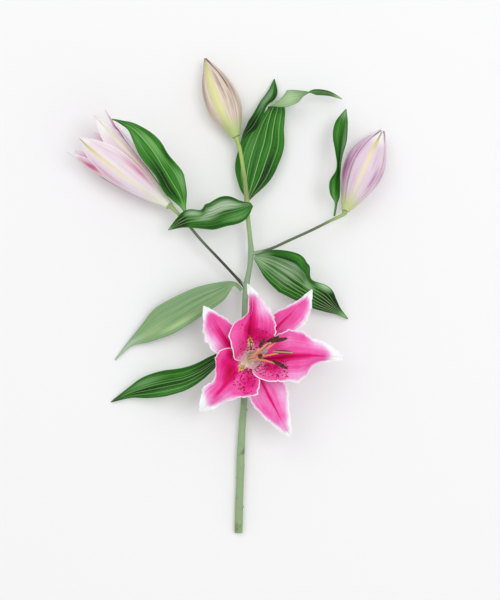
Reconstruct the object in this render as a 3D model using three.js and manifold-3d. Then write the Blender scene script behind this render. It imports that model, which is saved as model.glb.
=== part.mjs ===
// A cut lily stem, lying on its back: one open bloom, three buds and eight leaves.
// Millimetres, +Z up. The surface it lies on is z = 0, and +Y runs from the cut end to the top bud.

import * as THREE from 'three';
import { mergeVertices } from 'three/addons/utils/BufferGeometryUtils.js';
import Module from 'manifold-3d';

const wasm = await Module();
wasm.setup();

// ---- driving dimensions ----

const LEAF_THICKNESS = 0.8;
const PETAL_THICKNESS = 0.9;
const SEAT_GAP = 0.3; // between a piece and what it grows from

const STEM_SIDES = 10;
const STALK_SIDES = 8;

const BLOOM_SEAT = new THREE.Vector3(22, -67, 34); // middle of the bloom's receptacle
const BLOOM_AXIS = new THREE.Vector3(0.33, 0.12, 0.935).normalize();
const PETAL_RING = 4.9; // radius at which the three petals leave the receptacle
const SEPAL_RING = 8.2;
const STAMEN_RING = 3.0;
const FILAMENT_RADIUS = 0.8;
const ANTHER_RADIUS = 1.7;

const LEFT_BUD_BASE = new THREE.Vector3(-65.3, 98, 29.5);
const LEFT_BUD_AXIS = new THREE.Vector3(-0.763, 0.646, 0.012).normalize();
const LEFT_BUD_LENGTH = 119;
const BUD_LAYER_STEP = 2.2; // how much further in the inner petals of a bud stand

// ---- colours ----

const LEAF_UPPER = 0x3a7428;
const LEAF_UNDER = 0x86a677;
const STEM_GREEN = 0x86a878;
const PETAL_PINK = 0xd8387f;
const BUD_CREAM = 0xdcd6b4;
const BUD_MAUVE = 0xd8c1c4;
const BUD_PALE = 0xe6d6e2;
const POLLEN_BROWN = 0x4a2320;
const FILAMENT_ORANGE = 0xf0b890;
const PISTIL_GREEN = 0xb7b38a;

// ---- curves and bodies ----

// The value at u (0 to 1) of a smooth curve through evenly spaced numbers or points.
function through(values, u) {
  const place = u * (values.length - 1);
  const i = Math.min(Math.floor(place), values.length - 2);
  const f = place - i;
  const blend = (b, c, before, after) => {
    const a = before ?? 2 * b - c;
    const d = after ?? 2 * c - b;
    return 0.5 * (2 * b + (c - a) * f + (2 * a - 5 * b + 4 * c - d) * f * f
      + (3 * b - a - 3 * c + d) * f * f * f);
  };
  if (typeof values[0] === 'number') {
    return blend(values[i], values[i + 1], values[i - 1], values[i + 2]);
  }
  const axes = [0, 1, 2].map((k) => blend(values[i][k], values[i + 1][k], values[i - 1]?.[k], values[i + 2]?.[k]));
  return new THREE.Vector3(...axes);
}

function along(route, u) {
  const step = 0.001;
  const ahead = through(route, Math.min(u + step, 1));
  return ahead.sub(through(route, Math.max(u - step, 0))).normalize();
}

function bodyOf(points, faces) {
  const geometry = new THREE.BufferGeometry();
  geometry.setAttribute('position', new THREE.Float32BufferAttribute(points.flatMap((p) => p.toArray()), 3));
  geometry.setIndex(faces.flat());
  return geometry;
}

// A thin closed body around a grid of points; both faces are split into triangles the same way.
function sheetBody(grid, thickness) {
  const rows = grid.length - 1;
  const columns = grid[0].length - 1;
  const normals = grid.map((row, i) => row.map((point, j) => {
    const down = grid[Math.min(i + 1, rows)][j].clone().sub(grid[Math.max(i - 1, 0)][j]);
    const across = row[Math.min(j + 1, columns)].clone().sub(row[Math.max(j - 1, 0)]);
    return down.cross(across).normalize();
  }));
  const points = [];
  for (const side of [0.5, -0.5]) {
    grid.forEach((row, i) => row.forEach((point, j) => {
      points.push(point.clone().addScaledVector(normals[i][j], side * thickness));
    }));
  }
  const layer = (rows + 1) * (columns + 1);
  const top = (i, j) => i * (columns + 1) + j;
  const bottom = (i, j) => layer + top(i, j);
  const faces = [];
  const wall = (a, b, lowerA, lowerB) => faces.push([a, b, lowerB], [a, lowerB, lowerA]);
  for (let i = 0; i < rows; i += 1) {
    for (let j = 0; j < columns; j += 1) {
      faces.push([top(i, j), top(i + 1, j), top(i + 1, j + 1)], [top(i, j), top(i + 1, j + 1), top(i, j + 1)]);
      faces.push([bottom(i, j), bottom(i + 1, j + 1), bottom(i + 1, j)]);
      faces.push([bottom(i, j), bottom(i, j + 1), bottom(i + 1, j + 1)]);
    }
    wall(top(i + 1, 0), top(i, 0), bottom(i + 1, 0), bottom(i, 0));
    wall(top(i, columns), top(i + 1, columns), bottom(i, columns), bottom(i + 1, columns));
  }
  for (let j = 0; j < columns; j += 1) {
    wall(top(0, j), top(0, j + 1), bottom(0, j), bottom(0, j + 1));
    wall(top(rows, j + 1), top(rows, j), bottom(rows, j + 1), bottom(rows, j));
  }
  return bodyOf(points, faces);
}

// A closed body whose cross-sections are rings round a route; radius(u, angle) shapes it.
function ringBody({ route, radius, rows, sides, up = [0, 0, 1] }) {
  const points = [];
  const faces = [];
  const reference = new THREE.Vector3(...up);
  for (let i = 0; i <= rows; i += 1) {
    const u = i / rows;
    const centre = through(route, u);
    const forward = along(route, u);
    const outward = reference.clone().addScaledVector(forward, -reference.dot(forward)).normalize();
    const sideways = forward.clone().cross(outward);
    for (let j = 0; j < sides; j += 1) {
      const angle = (2 * Math.PI * j) / sides;
      const reach = radius(u, angle);
      points.push(centre.clone().addScaledVector(outward, reach * Math.cos(angle))
        .addScaledVector(sideways, reach * Math.sin(angle)));
    }
  }
  const ring = (i, j) => i * sides + (j % sides);
  for (let i = 0; i < rows; i += 1) {
    for (let j = 0; j < sides; j += 1) {
      faces.push([ring(i, j), ring(i, j + 1), ring(i + 1, j + 1)], [ring(i, j), ring(i + 1, j + 1), ring(i + 1, j)]);
    }
  }
  const start = points.push(through(route, 0)) - 1;
  const end = points.push(through(route, 1)) - 1;
  for (let j = 0; j < sides; j += 1) {
    faces.push([start, ring(0, j + 1), ring(0, j)], [end, ring(rows, j), ring(rows, j + 1)]);
  }
  return bodyOf(points, faces);
}

function stalk(route, radii, rows, sides = STALK_SIDES, up = [0, 0, 1]) {
  return ringBody({ route, radius: (u) => through(radii, u), rows, sides, up });
}

function solid(geometry) {
  const plain = geometry.clone();
  plain.deleteAttribute('normal');
  plain.deleteAttribute('uv');
  const merged = mergeVertices(plain);
  const vertProperties = new Float32Array(merged.attributes.position.array);
  const triVerts = new Uint32Array(merged.index.array);
  return new wasm.Manifold(new wasm.Mesh({ numProp: 3, vertProperties, triVerts }));
}

function geometryOf(manifold) {
  const mesh = manifold.getMesh();
  const geometry = new THREE.BufferGeometry();
  geometry.setAttribute('position', new THREE.BufferAttribute(new Float32Array(mesh.vertProperties), 3));
  geometry.setIndex([...mesh.triVerts]);
  return geometry;
}

const lily = new THREE.Group();

function grow(name, geometry, color, roughness) {
  const faceted = geometry.index ? geometry.toNonIndexed() : geometry;
  faceted.computeVertexNormals();
  const mesh = new THREE.Mesh(faceted, new THREE.MeshStandardMaterial({ color, roughness, metalness: 0 }));
  mesh.name = name;
  lily.add(mesh);
}

// ---- blades: leaves and petals ----

// A blade follows its midrib. At each station along it the two halves have a width and a fold,
// in degrees above the level of the midrib, and their margins ripple.
function bladeGrid({ midrib, left, right, foldLeft, foldRight, curl = 0, face, ripples = 3, ripple = 1 }, rows, columns) {
  const grid = [];
  for (let i = 0; i <= rows; i += 1) {
    const u = i / rows;
    const centre = through(midrib, u);
    const forward = along(midrib, u);
    const facing = face ? through(face, u) : new THREE.Vector3(0, 0, 1);
    facing.addScaledVector(forward, -facing.dot(forward)).normalize();
    const leftward = facing.clone().cross(forward);
    const row = [];
    for (let j = 0; j <= columns; j += 1) {
      const across = (2 * j) / columns - 1;
      const share = Math.abs(across);
      const isLeft = across > 0;
      const reach = share * Math.max(through(isLeft ? left : right, u), 0.4);
      const lean = THREE.MathUtils.degToRad(through(isLeft ? foldLeft : foldRight, u) + curl * share);
      const phase = isLeft ? 0 : 2;
      const wave = ripple * Math.sin(2 * Math.PI * ripples * u + phase) * share * share * Math.sin(Math.PI * u);
      const outward = reach * Math.cos(lean) - wave * Math.sin(lean);
      row.push(centre.clone().addScaledVector(leftward, Math.sign(across) * outward)
        .addScaledVector(facing, reach * Math.sin(lean) + wave * Math.cos(lean)));
    }
    grid.push(row);
  }
  return grid;
}

const LEAF_ROWS = 18;
const LEAF_COLUMNS = 6;

const leaves = {
  leaf_left_lower: {
    midrib: [[12.2, -57.5, 14], [0.3, -60.9, 18.5], [-15.9, -71.5, 24], [-32, -82.2, 26], [-49.3, -89.8, 26],
      [-69, -94.3, 23], [-90.1, -99.6, 16], [-109.2, -106.1, 9], [-130.6, -116.4, 3]],
    left: [1.6, 2.5, 5, 8.5, 12.5, 15, 12, 5.6, 0.5],
    right: [1.6, 4.3, 8, 11, 13.5, 15, 12.5, 6, 0.5],
    foldLeft: [20, 20, 18, 18, 20, 22, 20, 10, 0],
    foldRight: [20, 20, 18, 18, 20, 22, 20, 10, 0],
    ripples: 2,
    color: LEAF_UPPER,
  },
  leaf_left_middle: {
    midrib: [[12.9, 6.6, 18.6], [3.6, 13.2, 22], [-12.6, 5.3, 26], [-32, -4.4, 28], [-53.7, -17.4, 25],
      [-73.6, -29.4, 18], [-91.6, -41.5, 10], [-109.6, -52.6, 5], [-126.3, -70.3, 2]],
    left: [1.7, 2.7, 12.2, 15.8, 17, 16, 10, 3.2, 0.5],
    right: [1.7, 2.7, 10, 14.8, 17.6, 18, 11.2, 3.2, 0.5],
    foldLeft: [10, 10, -8, -14, -14, -12, -8, 0, 0],
    foldRight: [10, 10, -8, -14, -14, -12, -8, 0, 0],
    ripples: 2,
    color: LEAF_UNDER,
  },
  leaf_right_middle: {
    midrib: [[27, 42.3, 22], [43.5, 34.4, 29], [61.7, 23.5, 34], [70.3, 17.1, 35], [83.3, 8.5, 33],
      [99.9, -2.2, 26], [110, -9.8, 19], [119.1, -16.9, 12], [129.4, -25.2, 6]],
    left: [2.2, 17.5, 27, 25, 12.5, 14, 8.5, 3.6, 0.5],
    right: [2.2, 15.5, 21.5, 20.5, 18.5, 15, 10, 4.3, 0.5],
    foldLeft: [20, 22, 27, 28, -30, 8, 5, 0, 0],
    foldRight: [-10, -14, -18, -18, -18, -14, -8, 0, 0],
    ripple: 0.6,
    color: LEAF_UPPER,
  },
  leaf_top_left: {
    midrib: [[23.8, 99.2, 26.6], [11.3, 92, 33], [-4.7, 86.4, 42], [-18.5, 82, 44], [-29.2, 79.9, 43.5],
      [-42.2, 78, 41], [-52, 75.5, 37], [-66.2, 70.9, 32]],
    left: [3, 12, 13, 12.5, 10, 5.5, 2.6, 0.5],
    right: [1.6, 12.5, 22, 19, 13, 14.5, 10, 0.5],
    foldLeft: [2, -8, -28, -30, -30, -25, -10, 0],
    foldRight: [10, 20, 30, 30, -20, 10, 5, 0],
    ripple: 0.5,
    color: LEAF_UPPER,
  },
  leaf_top_large: {
    midrib: [[20, 104, 20], [22, 115.3, 14], [26.4, 132, 10.5], [30.7, 148.7, 8], [36.2, 167.5, 7], [40.6, 187.2, 7.5],
      [44.9, 201.8, 10], [51.3, 210.6, 19], [60.9, 214, 27], [70.6, 215.5, 29], [80.4, 218.3, 28],
      [93.5, 221, 24], [107.8, 220, 19], [122.3, 214.7, 14]],
    left: [1.6, 12, 21.5, 23.8, 22.2, 14, 4.6, 10.5, 11.5, 8, 4, 3.8, 2.6, 0.5],
    right: [1.6, 10, 19.3, 23.2, 23.8, 19.3, 16.5, 12.5, 10, 7, 4, 4.6, 3, 0.5],
    foldLeft: [10, 8, 6, 8, 4, -6, -4, 8, 5, 0, 0, 0, 0, 0],
    foldRight: [10, 10, 10, 10, 8, 8, 8, 10, 5, 0, 0, 0, 0, 0],
    face: [[0, 0, 1], [0, 0, 1], [0, 0, 1], [0, 0, 1], [0, 0, 1], [0, 0, 1], [0.2, -0.1, 1], [0.81, -0.59, 0.1],
      [0.1, -0.5, -1], [0, 0, -1], [0, 0.8, -0.6], [0, 0.6, 0.8], [0, 0.2, 1], [0, 0, 1]],
    ripple: 0.7,
    rows: 30,
    color: LEAF_UPPER,
  },
  leaf_top_small: {
    midrib: [[12.5, 163.8, 24.9], [17.5, 175, 23], [25, 184, 20], [31, 194.5, 17], [38.1, 209, 10.5],
      [46, 222, 5.5], [48.8, 238, 4]],
    left: [1.1, 4, 8, 8, 7, 5.5, 0.5],
    right: [1.1, 3, 5.6, 4.5, 3, 6, 0.5],
    foldLeft: [20, 30, 35, 40, 40, 20, 0],
    foldRight: [20, 25, 20, 10, 0, 0, 0],
    ripple: 0.4,
    color: LEAF_UPPER,
  },
  leaf_by_left_bud: {
    midrib: [[-43.3, 78.7, 30.7], [-48.4, 93.4, 35], [-54.1, 106.8, 42], [-60.9, 117.8, 50], [-67.9, 129.9, 57],
      [-75, 142.1, 61.5], [-83.3, 154.5, 64], [-92.6, 165.9, 65], [-103.2, 176.5, 64], [-113.9, 182.6, 62],
      [-123.7, 186.7, 59]],
    left: [1.1, 2.5, 8.6, 11.4, 10.4, 12.2, 13.2, 9.6, 4, 1.7, 0.4],
    right: [1.1, 2, 10.5, 18, 17.8, 14.8, 14.4, 11.6, 6.4, 2.5, 0.4],
    foldLeft: [0, 10, 10, 10, 10, 8, 8, 8, 5, 0, 0],
    foldRight: [0, -5, -15, -25, -30, -28, -20, -12, -5, 0, 0],
    ripple: 0.6,
    color: LEAF_UPPER,
  },
  leaf_by_right_bud: {
    midrib: [[113, 86.2, 27.4], [114.9, 100.1, 30], [116.1, 109.7, 32], [116.6, 123.6, 33], [117, 137.5, 33],
      [118.4, 151.6, 32], [120.1, 168, 30], [122.4, 184.6, 27], [125.9, 202.4, 23]],
    left: [1.1, 1.8, 9.5, 12, 7, 8, 12.5, 9.8, 0.5],
    right: [1.1, 1.8, 5, 6, 6, 7, 8, 6, 0.5],
    foldLeft: [10, 20, 35, 40, 76, 54, 40, 26, 0],
    foldRight: [10, 50, 60, 70, 72, 60, 45, 35, 0],
    ripple: 0.3,
    rows: 22,
    color: LEAF_UPPER,
  },
};

// ---- the bloom ----

const ACROSS_BLOOM = new THREE.Vector3(1, 0, 0).addScaledVector(BLOOM_AXIS, -BLOOM_AXIS.x).normalize();
const UP_BLOOM = BLOOM_AXIS.clone().cross(ACROSS_BLOOM);

// A point on a ring round the bloom's axis, at a height above the receptacle.
function bloomPoint(degrees, radius, height) {
  const angle = THREE.MathUtils.degToRad(degrees);
  return BLOOM_SEAT.clone().addScaledVector(BLOOM_AXIS, height)
    .addScaledVector(ACROSS_BLOOM, radius * Math.cos(angle))
    .addScaledVector(UP_BLOOM, radius * Math.sin(angle));
}

const PETAL_ROWS = 16;
const PETAL_COLUMNS = 8;

// The midribs start at the receptacle; the points after that run up the throat and over to the tip.
const bloomPetals = {
  bloom_petal_top: {
    root: [100, PETAL_RING],
    midrib: [[22, -58, 44], [22.3, -50, 55], [21.5, -39, 65], [23, -25.3, 71], [24.6, -12.8, 72.5],
      [24.1, -1.3, 70], [19.4, 12.4, 64]],
    left: [3.3, 14, 27, 23, 11, 8, 6, 0.6],
    right: [3.3, 6.5, 12, 29, 28, 18, 9.5, 0.6],
    foldLeft: [0, 54, 40, 22, -58, -65, -58, 0],
    foldRight: [0, 20, 32, 20, 8, -12, -35, 0],
  },
  bloom_petal_right: {
    root: [0, PETAL_RING],
    midrib: [[33, -67, 44], [39, -66.5, 54], [47, -66, 63], [61.8, -64.1, 70], [79.6, -63, 70.5],
      [93.3, -63.2, 67.5], [107.3, -63.9, 61], [120.5, -65.8, 53]],
    left: [3.3, 6.5, 10, 16, 28.5, 25, 19, 11, 2.2],
    right: [3.3, 13, 23, 27, 27, 25, 12, 7, 2.2],
    foldLeft: [0, 12, 16, 10, 2, -25, -30, -20, 0],
    foldRight: [0, 36, 42, 28, 12, -20, -50, -35, 0],
  },
  bloom_petal_lower: {
    root: [225, PETAL_RING],
    midrib: [[16.5, -73, 43.5], [11.5, -78, 52], [5, -85.6, 59], [-4.3, -95.8, 63.5], [-15.8, -108.5, 63],
      [-23.4, -115.7, 59], [-31.5, -122.5, 53]],
    left: [3.3, 9, 22, 31, 18, 11, 7, 1],
    right: [3.3, 8, 28, 31, 15, 17, 12, 1],
    foldLeft: [0, 20, 26, 12, -10, -35, -30, 0],
    foldRight: [0, 8, 20, 14, -12, -20, -20, 0],
  },
  bloom_sepal_upper_right: {
    root: [48, SEPAL_RING],
    midrib: [[31, -56.5, 39], [36, -50, 45.5], [42.2, -42.6, 51], [54.8, -28.7, 57], [65.3, -18.7, 59],
      [77, -6.5, 57], [87.8, 6.7, 50]],
    left: [3.6, 7, 12, 14, 12.5, 9, 4.5, 0.6],
    right: [3.6, 7, 12, 14, 15, 18, 13, 0.6],
    foldLeft: [0, 12, 15, 12, -5, -20, -30, 0],
    foldRight: [0, 12, 15, 12, 0, -8, -15, 0],
  },
  bloom_sepal_bottom: {
    root: [288, SEPAL_RING],
    midrib: [[26, -78, 38.5], [28.5, -82.8, 45], [33.7, -90.3, 51], [41, -104.8, 56], [50.5, -122.7, 57],
      [59.1, -139, 53], [66.7, -151.3, 45]],
    left: [3.6, 7, 12, 18, 23, 15.5, 8, 0.6],
    right: [3.6, 6.6, 12, 15, 19, 15.5, 8.5, 0.6],
    foldLeft: [0, 12, 15, 12, -10, -25, -25, 0],
    foldRight: [0, 12, 15, 12, -8, -25, -25, 0],
  },
  bloom_sepal_left: {
    root: [146, SEPAL_RING],
    midrib: [[11.2, -60.6, 41.5], [5.8, -55.6, 48], [-0.3, -50, 52.5], [-8.7, -36.1, 57], [-18.2, -22.4, 58],
      [-27.3, -10.8, 51]],
    left: [3.6, 8, 14, 18, 20, 12.5, 0.6],
    right: [3.6, 8, 13, 14, 13, 8, 0.6],
    foldLeft: [0, 12, 12, 5, -15, -25, 0],
    foldRight: [0, 12, 15, 5, -20, -30, 0],
  },
};

// Each anther is given by the two ends that it hangs between.
const anthers = [
  [[42.6, -47.6, 94], [60.5, -43.6, 96]],
  [[31.2, -53.5, 101], [37.3, -43.4, 108]],
  [[45.6, -57.4, 93], [66.2, -58.6, 97]],
  [[44.7, -66.6, 91], [60.8, -75.2, 95]],
  [[30.4, -62.8, 99], [34.2, -60.2, 108]],
  [[38.5, -47.8, 88], [52, -42.2, 89]],
];
// Where each filament leaves the receptacle, and where it stands at its tip, in degrees round the axis.
const STAMEN_TURNS = [[58, 60], [178, 143], [-2, 5], [-62, -49], [238, 193], [118, 80]];
const ANTHER_ARCH = 0.03; // as a share of its length
const STIGMA = [37.3, -56.3, 107];
const PISTIL_RADII = [1.5, 1.5, 1.2, 1.1, 1.3, 2.9];

function bloom() {
  for (const [name, plan] of Object.entries(bloomPetals)) {
    const [turn, radius] = plan.root;
    const root = bloomPoint(turn, radius, SEAT_GAP + 0.95);
    const grid = bladeGrid({ ...plan, midrib: [root.toArray(), ...plan.midrib], curl: 8, ripples: 4, ripple: 1.3 },
      PETAL_ROWS, PETAL_COLUMNS);
    grow(name, sheetBody(grid, PETAL_THICKNESS), PETAL_PINK, 0.5);
  }
  anthers.forEach(([lower, upper], k) => {
    const near = new THREE.Vector3(...lower);
    const far = new THREE.Vector3(...upper);
    const length = near.distanceTo(far);
    const middle = near.clone().lerp(far, 0.5).addScaledVector(BLOOM_AXIS, ANTHER_ARCH * length);
    const shape = (u) => ANTHER_RADIUS * Math.sqrt(Math.max(Math.sin(Math.PI * u), 0.12));
    grow(`anther_${k + 1}`, ringBody({
      route: [lower, middle.toArray(), upper],
      radius: shape,
      rows: 8,
      sides: 8,
      up: [0, 1, 0.3],
    }), POLLEN_BROWN, 0.9);
    // The filament ends just behind the middle of the anther's back.
    const lengthwise = far.clone().sub(near).normalize();
    const back = BLOOM_AXIS.clone().negate().addScaledVector(lengthwise, BLOOM_AXIS.dot(lengthwise)).normalize();
    const clearance = ANTHER_RADIUS + SEAT_GAP + FILAMENT_RADIUS * Math.abs(BLOOM_AXIS.dot(lengthwise));
    const tip = middle.clone().addScaledVector(back, clearance);
    const [start, finish] = STAMEN_TURNS[k];
    const route = [
      bloomPoint(start, STAMEN_RING, SEAT_GAP),
      bloomPoint(start, STAMEN_RING + 0.4, 16),
      bloomPoint((start + finish) / 2, STAMEN_RING + 3, 36),
      tip,
    ];
    grow(`filament_${k + 1}`, stalk(route.map((p) => p.toArray()), [FILAMENT_RADIUS, FILAMENT_RADIUS, 0.75, 0.6],
      10, 6, [1, 0, 0]), FILAMENT_ORANGE, 0.5);
  });
  const style = [bloomPoint(0, 0, SEAT_GAP), bloomPoint(172, 0.2, 22), bloomPoint(172, 2.4, 48)];
  grow('pistil', stalk([...style.map((p) => p.toArray()), STIGMA], PISTIL_RADII, 12, 9, [1, 0, 0]), PISTIL_GREEN, 0.5);
}

// ---- buds ----

const BUD_ROWS = 16;
const BUD_SIDES = 24;
const FLOOR_CUTTER = solid(new THREE.BoxGeometry(900, 900, 100).translate(0, 0, -50));

// A closed bud: three broad ribs with a furrow between each two, and a flat spot where it lies.
const closedBuds = {
  bud_top: {
    route: [[6.9, 172.9, 21.6], [-5.2, 203.7, 18.5], [-17.2, 234.2, 16.6], [-26.8, 258.4, 15.4]],
    radii: [4.2, 9.2, 14, 17.4, 18.4, 17.6, 15.4, 12.4, 8.6, 4.4, 0.8],
    firstRib: -25,
    color: BUD_CREAM,
  },
  bud_right: {
    route: [[125.1, 92.6, 23.8], [138.8, 124, 21.2], [152.6, 154.4, 19.8], [166.2, 180.4, 18.6]],
    radii: [4.2, 9.2, 14.2, 18.4, 21, 21.8, 20.6, 17.2, 12.8, 7.4, 0.8],
    firstRib: 10,
    color: BUD_MAUVE,
  },
};
const RIB_HEIGHT = 0.035; // as a share of the bud's radius
const FURROW_DEPTH = 0.07;

function closedBud(name, { route, radii, firstRib, color }) {
  const turn = THREE.MathUtils.degToRad(firstRib);
  const radius = (u, angle) => {
    const third = Math.cos(3 * (angle - turn));
    const swell = RIB_HEIGHT * Math.max(third, 0) ** 6 - FURROW_DEPTH * Math.max(-third, 0) ** 6;
    return through(radii, u) * (1 + swell);
  };
  const body = ringBody({ route, radius, rows: BUD_ROWS, sides: BUD_SIDES });
  grow(name, geometryOf(solid(body).subtract(FLOOR_CUTTER)), color, 0.5);
}

// The opening bud: six petals round its axis, their tips already apart.
const BUD_PETAL_ROWS = 12;
const BUD_PETAL_COLUMNS = 6;
const BUD_RADII = [4.4, 11, 16.5, 20.5, 23.5, 25.5, 27, 29];
const BUD_PETAL_WIDTHS = [2, 7.8, 12.6, 16, 17.4, 15.8, 10.2, 0.8]; // half widths
const budPetals = {
  opening_petal_outer_1: { turn: 15, inset: 0, length: 1.0, flare: 1 },
  opening_petal_outer_2: { turn: 135, inset: 0, length: 0.99, flare: 0 },
  opening_petal_outer_3: { turn: -102, inset: 0, length: 1.0, flare: 6 },
  opening_petal_inner_1: { turn: -44, inset: BUD_LAYER_STEP, length: 1.01, flare: 2 },
  opening_petal_inner_2: { turn: 76, inset: BUD_LAYER_STEP, length: 1.0, flare: 0 },
  opening_petal_inner_3: { turn: 196, inset: BUD_LAYER_STEP, length: 0.97, flare: 0 },
};

const BUD_UP = new THREE.Vector3(0, 0, 1).addScaledVector(LEFT_BUD_AXIS, -LEFT_BUD_AXIS.z).normalize();
const BUD_SIDE = BUD_UP.clone().cross(LEFT_BUD_AXIS);

function openingBudPetal(name, { turn, inset, length, flare }) {
  const grid = [];
  for (let i = 0; i <= BUD_PETAL_ROWS; i += 1) {
    const u = i / BUD_PETAL_ROWS;
    const distance = through(BUD_RADII, u) - inset + flare * u ** 4;
    const halfAngle = through(BUD_PETAL_WIDTHS, u) / Math.max(distance, 1);
    const height = SEAT_GAP + 0.5 + LEFT_BUD_LENGTH * length * u;
    const row = [];
    for (let j = 0; j <= BUD_PETAL_COLUMNS; j += 1) {
      const across = 1 - (2 * j) / BUD_PETAL_COLUMNS;
      const angle = THREE.MathUtils.degToRad(turn) + halfAngle * across;
      row.push(LEFT_BUD_BASE.clone().addScaledVector(LEFT_BUD_AXIS, height)
        .addScaledVector(BUD_UP, distance * Math.cos(angle))
        .addScaledVector(BUD_SIDE, distance * Math.sin(angle)));
    }
    grid.push(row);
  }
  grow(name, sheetBody(grid, PETAL_THICKNESS), BUD_PALE, 0.5);
}

// ---- the stem, with the stalks that carry the buds and the bloom ----

const limbs = [
  {
    route: [[9.4, -259.9, 4.5], [11, -201.6, 5.6], [12.7, -157.6, 7.6], [15.4, -113.6, 9.6], [16, -58.9, 12.5],
      [16, -24, 15], [17.7, 8.6, 18], [21.5, 30.3, 20], [23.1, 47.6, 21], [22, 62.8, 22.5], [19.3, 88.7, 24],
      [18.8, 100.5, 24.5], [17.1, 120, 24], [14.4, 139.5, 24], [11.2, 158, 23], [7.2, 172.2, 21.7]],
    radii: [4.5, 4.3, 4.1, 3.5, 3.1, 3.1, 3.4, 2.9, 3.2, 2.6, 2.5, 3.1, 2.3, 2.2, 2.2, 3.4],
    rows: 60,
    sides: STEM_SIDES,
    scars: true,
  },
  {
    route: [[17.7, 8.6, 18], [5.7, 21.6, 21], [-10.5, 38.9, 24], [-30.9, 60.4, 27], [-48.1, 80.8, 29],
      [-61.3, 94.6, 29.5], LEFT_BUD_BASE.toArray()],
    radii: [2.2, 1.7, 1.6, 1.6, 1.8, 2.6, 5.4],
    rows: 18,
  },
  {
    route: [[23.1, 45.5, 21], [43.6, 50.8, 24], [65.2, 60.4, 26], [88.9, 71.2, 27], [109, 81.3, 26.2],
      [123.1, 88.2, 24.1], [124.8, 91.9, 23.8]],
    radii: [2.2, 1.7, 1.6, 1.6, 1.7, 2.2, 3.6],
    rows: 16,
  },
  {
    route: [[15.6, -96, 10.8], [15.9, -84, 14], [16.8, -74.5, 19], [19.6, -68.6, 26],
      BLOOM_SEAT.clone().addScaledVector(BLOOM_AXIS, -3).toArray(), BLOOM_SEAT.toArray()],
    radii: [2.4, 2.4, 2.4, 2.8, 7.6, 9.2],
    rows: 12,
    up: [1, 0, 0],
  },
];
const SCAR_COUNT = 22; // old leaf scars along the bare lower stem
const SCAR_HEIGHT = 0.5;

function stem() {
  const solids = limbs.map(({ route, radii, rows, sides = STALK_SIDES, up, scars = false }) => {
    const radius = (u, angle) => {
      const scar = scars && u < 0.4 ? Math.max(Math.cos(2 * Math.PI * SCAR_COUNT * u - angle), 0) ** 3 : 0;
      return through(radii, u) + SCAR_HEIGHT * scar * Math.sin(Math.PI * Math.min(u / 0.4, 1));
    };
    return solid(ringBody({ route, radius, rows, sides, up }));
  });
  const whole = solids.reduce((sum, limb) => sum.add(limb));
  grow('stem', geometryOf(whole.subtract(FLOOR_CUTTER)), STEM_GREEN, 0.55);
}

stem();
for (const [name, plan] of Object.entries(leaves)) {
  const grid = bladeGrid(plan, plan.rows ?? LEAF_ROWS, LEAF_COLUMNS);
  grow(name, sheetBody(grid, LEAF_THICKNESS), plan.color, 0.45);
}
for (const [name, plan] of Object.entries(closedBuds)) {
  closedBud(name, plan);
}
for (const [name, plan] of Object.entries(budPetals)) {
  openingBudPetal(name, plan);
}
bloom();

export default lily;
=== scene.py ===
import math
import random

import bmesh
import bpy
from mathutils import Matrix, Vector, noise


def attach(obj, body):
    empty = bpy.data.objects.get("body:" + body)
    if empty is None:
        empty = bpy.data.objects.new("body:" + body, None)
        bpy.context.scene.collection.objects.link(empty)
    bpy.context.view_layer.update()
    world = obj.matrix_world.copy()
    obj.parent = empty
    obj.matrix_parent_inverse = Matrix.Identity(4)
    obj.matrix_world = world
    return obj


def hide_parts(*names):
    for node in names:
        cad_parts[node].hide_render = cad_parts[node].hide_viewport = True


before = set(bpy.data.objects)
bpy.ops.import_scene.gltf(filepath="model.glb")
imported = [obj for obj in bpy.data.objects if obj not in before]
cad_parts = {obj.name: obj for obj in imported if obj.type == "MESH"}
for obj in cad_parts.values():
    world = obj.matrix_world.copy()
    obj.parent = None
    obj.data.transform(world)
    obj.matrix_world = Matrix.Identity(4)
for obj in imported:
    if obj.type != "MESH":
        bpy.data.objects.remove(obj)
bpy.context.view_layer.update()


# ---- stem ----
# A solid green stem with a waxy skin, cut across at its lower end and scarred where its old
# leaves were stripped. The thin stalks of the buds and the bloom grow out of it as one piece.

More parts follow.
